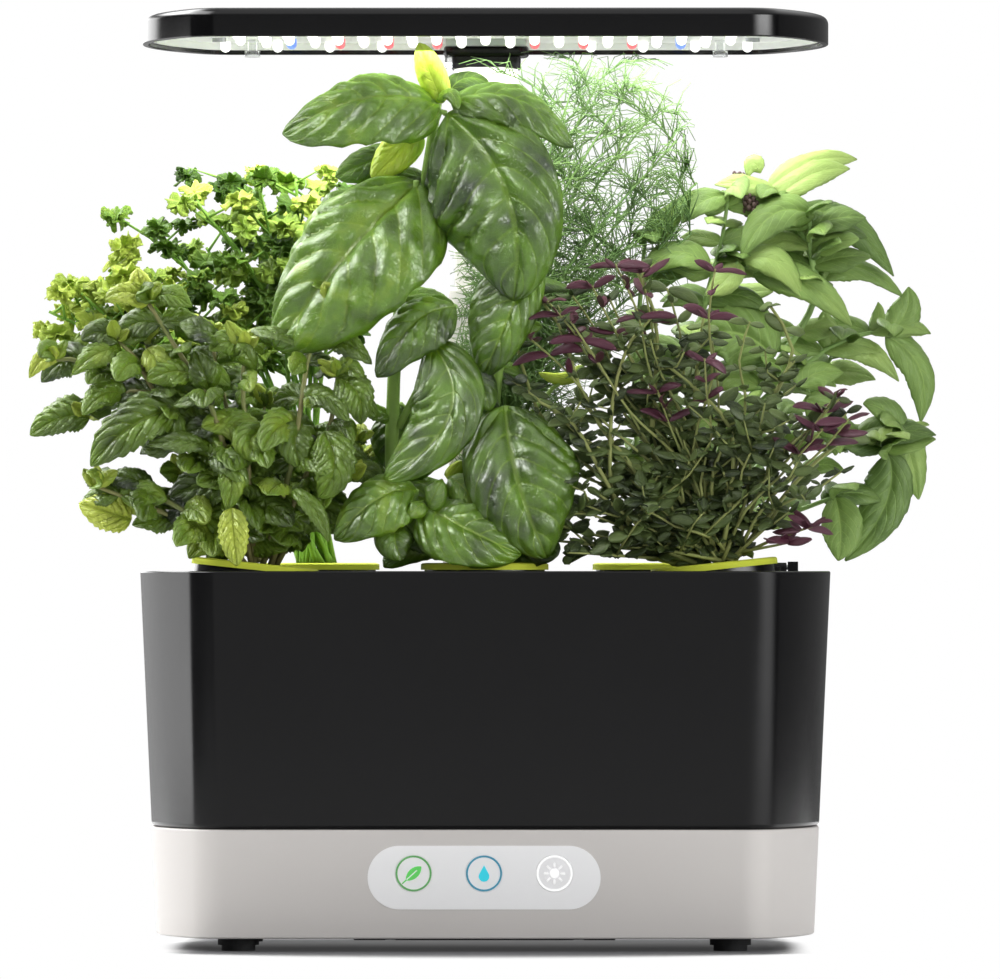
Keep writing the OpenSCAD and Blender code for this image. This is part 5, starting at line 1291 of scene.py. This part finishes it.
# ---- Studio ----
def make_floor():
    """A pale floor with a painted contact shadow and a faint painted glow at the object's foot, and white
    further out.
    """
    size = 0.8
    mesh = bpy.data.meshes.new("studio_floor")
    mesh.from_pydata([(-size, -size, 0), (size, -size, 0), (size, size, 0), (-size, size, 0)], [],
                     [(0, 1, 2, 3)])
    floor = put("studio_floor", mesh)
    f = Finish("studio floor")
    x, y, z = f.parts(f.here())
    foot_x, foot_y = 0.105, 0.078
    # Before and behind, the painted shadow reaches furthest at the middle of the object
    fade_y = (1 - (x * 8.3) ** 2).larger(0) * 0.058 + 0.016
    before = ((y.size() - foot_y) * fade_y ** -1).larger(0)
    beside = ((x.size() - foot_x) * 48).larger(0)
    away = (before * before + beside * beside) ** 0.5
    # The floor's colour darkens from pale to near black towards the foot: a painted contact shadow.
    share = away.smooth(0, 1) ** 1.5
    # A faint glow, lighter towards the back, is painted light that lifts the shade under the base.
    through = f.mix(y.smooth(-0.03, 0.05), (0.31, 0.31, 0.31, 1), (1, 1, 1, 1))
    card = f.body(Base_Color=f.mix(share, (0.06, 0.06, 0.065, 1), (0.9, 0.9, 0.9, 1)), Roughness=0.9,
                  Specular_IOR_Level=0.1, Emission_Color=through, Emission_Strength=0.145)
    far = away.smooth(0.45, 1)
    white = f.node("ShaderNodeEmission", {}, {"Color": (1, 1, 1, 1), "Strength": 1.0})
    path = f.node("ShaderNodeLightPath").socket.node.outputs
    seen = Value(f, path["Is Camera Ray"]).larger(Value(f, path["Is Transmission Ray"]))
    mesh.materials.append(f.done(f.node("ShaderNodeMixShader", {}, {0: far * seen, 1: card, 2: white})))


def add_lamp(name, place, aim, power, width, height):
    data = bpy.data.lights.new(name, "AREA")
    data.shape = "RECTANGLE"
    data.size = width
    data.size_y = height
    data.energy = power
    lamp = put(name, data)
    lamp.location = place
    lamp.rotation_euler = (Vector(aim) - Vector(place)).to_track_quat("-Z", "Y").to_euler()
    lamp.visible_glossy = False


def make_world():
    """White behind the object, a soft grey fill, and bright panels for what gloss reflects."""
    world = bpy.data.worlds.new("studio")
    bpy.context.scene.world = world
    f = Finish("studio", world)
    x, y, z = f.parts(f.node("ShaderNodeTexCoord", output="Generated"))
    # Each panel has its place as turn, the angle from the front towards the right, and as z, the rise
    turn = x.math("ARCTAN2", y * -1)
    level = z.smooth(0.0, 0.04)
    glow = ((turn + 1.97) * 2.3).math("EXPONENT")
    left_low = turn.smooth(-1.79, -1.96) * glow * 4.4
    left_high = turn.smooth(-2.44, -2.55) * 3.0
    right_low = turn.band(0.55, 1.12, 1.3, 1.75) * 2.6
    right_high = turn.band(0.36, 0.8, 1.05, 1.55) * 17
    front = turn.size().smooth(0.6, 0.4) * (0.7 - level * 0.35)
    low = left_low + right_low
    high = (left_high + right_high) * z.smooth(0.24, 0.14)
    rear = turn.smooth(1.8, 2.0) * 0.12
    window = turn.band(-2.9, -2.4, -1.0, -0.5) * z.band(0.25, 0.4, 0.75, 0.9) * 13
    panels = low * (1 - level) + high * level + front + rear + window + z.smooth(0.15, 0.6) * 1.4 + 0.03
    path = f.node("ShaderNodeLightPath").socket.node.outputs
    plain = Value(f, path["Is Camera Ray"]).larger(Value(f, path["Is Transmission Ray"]))
    gloss = Value(f, path["Is Glossy Ray"])
    light = plain + (1 - plain) * (gloss * panels + (1 - gloss) * 0.36)
    back = f.node("ShaderNodeBackground", {}, {"Color": (1, 1, 1, 1), "Strength": light})
    f.node("ShaderNodeOutputWorld", {}, {"Surface": back})


def make_camera():
    data = bpy.data.cameras.new("camera")
    data.lens = 389.2
    data.sensor_width = 36
    data.clip_end = 20
    camera = put("camera", data)
    camera.location = (0.03, -4.184, 0.145)
    aim = Vector((0.0061, -0.076, 0.176))
    camera.rotation_euler = (aim - camera.location).to_track_quat("-Z", "Y").to_euler()
    bpy.context.scene.camera = camera


make_floor()
add_lamp("left_lamp", (-1.5, 0.05, 0.8), (0, 0, 0.17), 16, 0.8, 0.9)
add_lamp("right_lamp", (0.9, -1.05, 0.5), (0, 0, 0.17), 9, 0.7, 0.9)
add_lamp("back_lamp", (-0.3, 0.9, 1.5), (0, 0, 0.22), 22, 1.0, 0.7)
add_lamp("hood_light", (0, 0, 0.344), (0, 0, 0), 0.9, 0.23, 0.12)
make_world()
make_camera()
bpy.context.scene.view_settings.view_transform = "Standard"
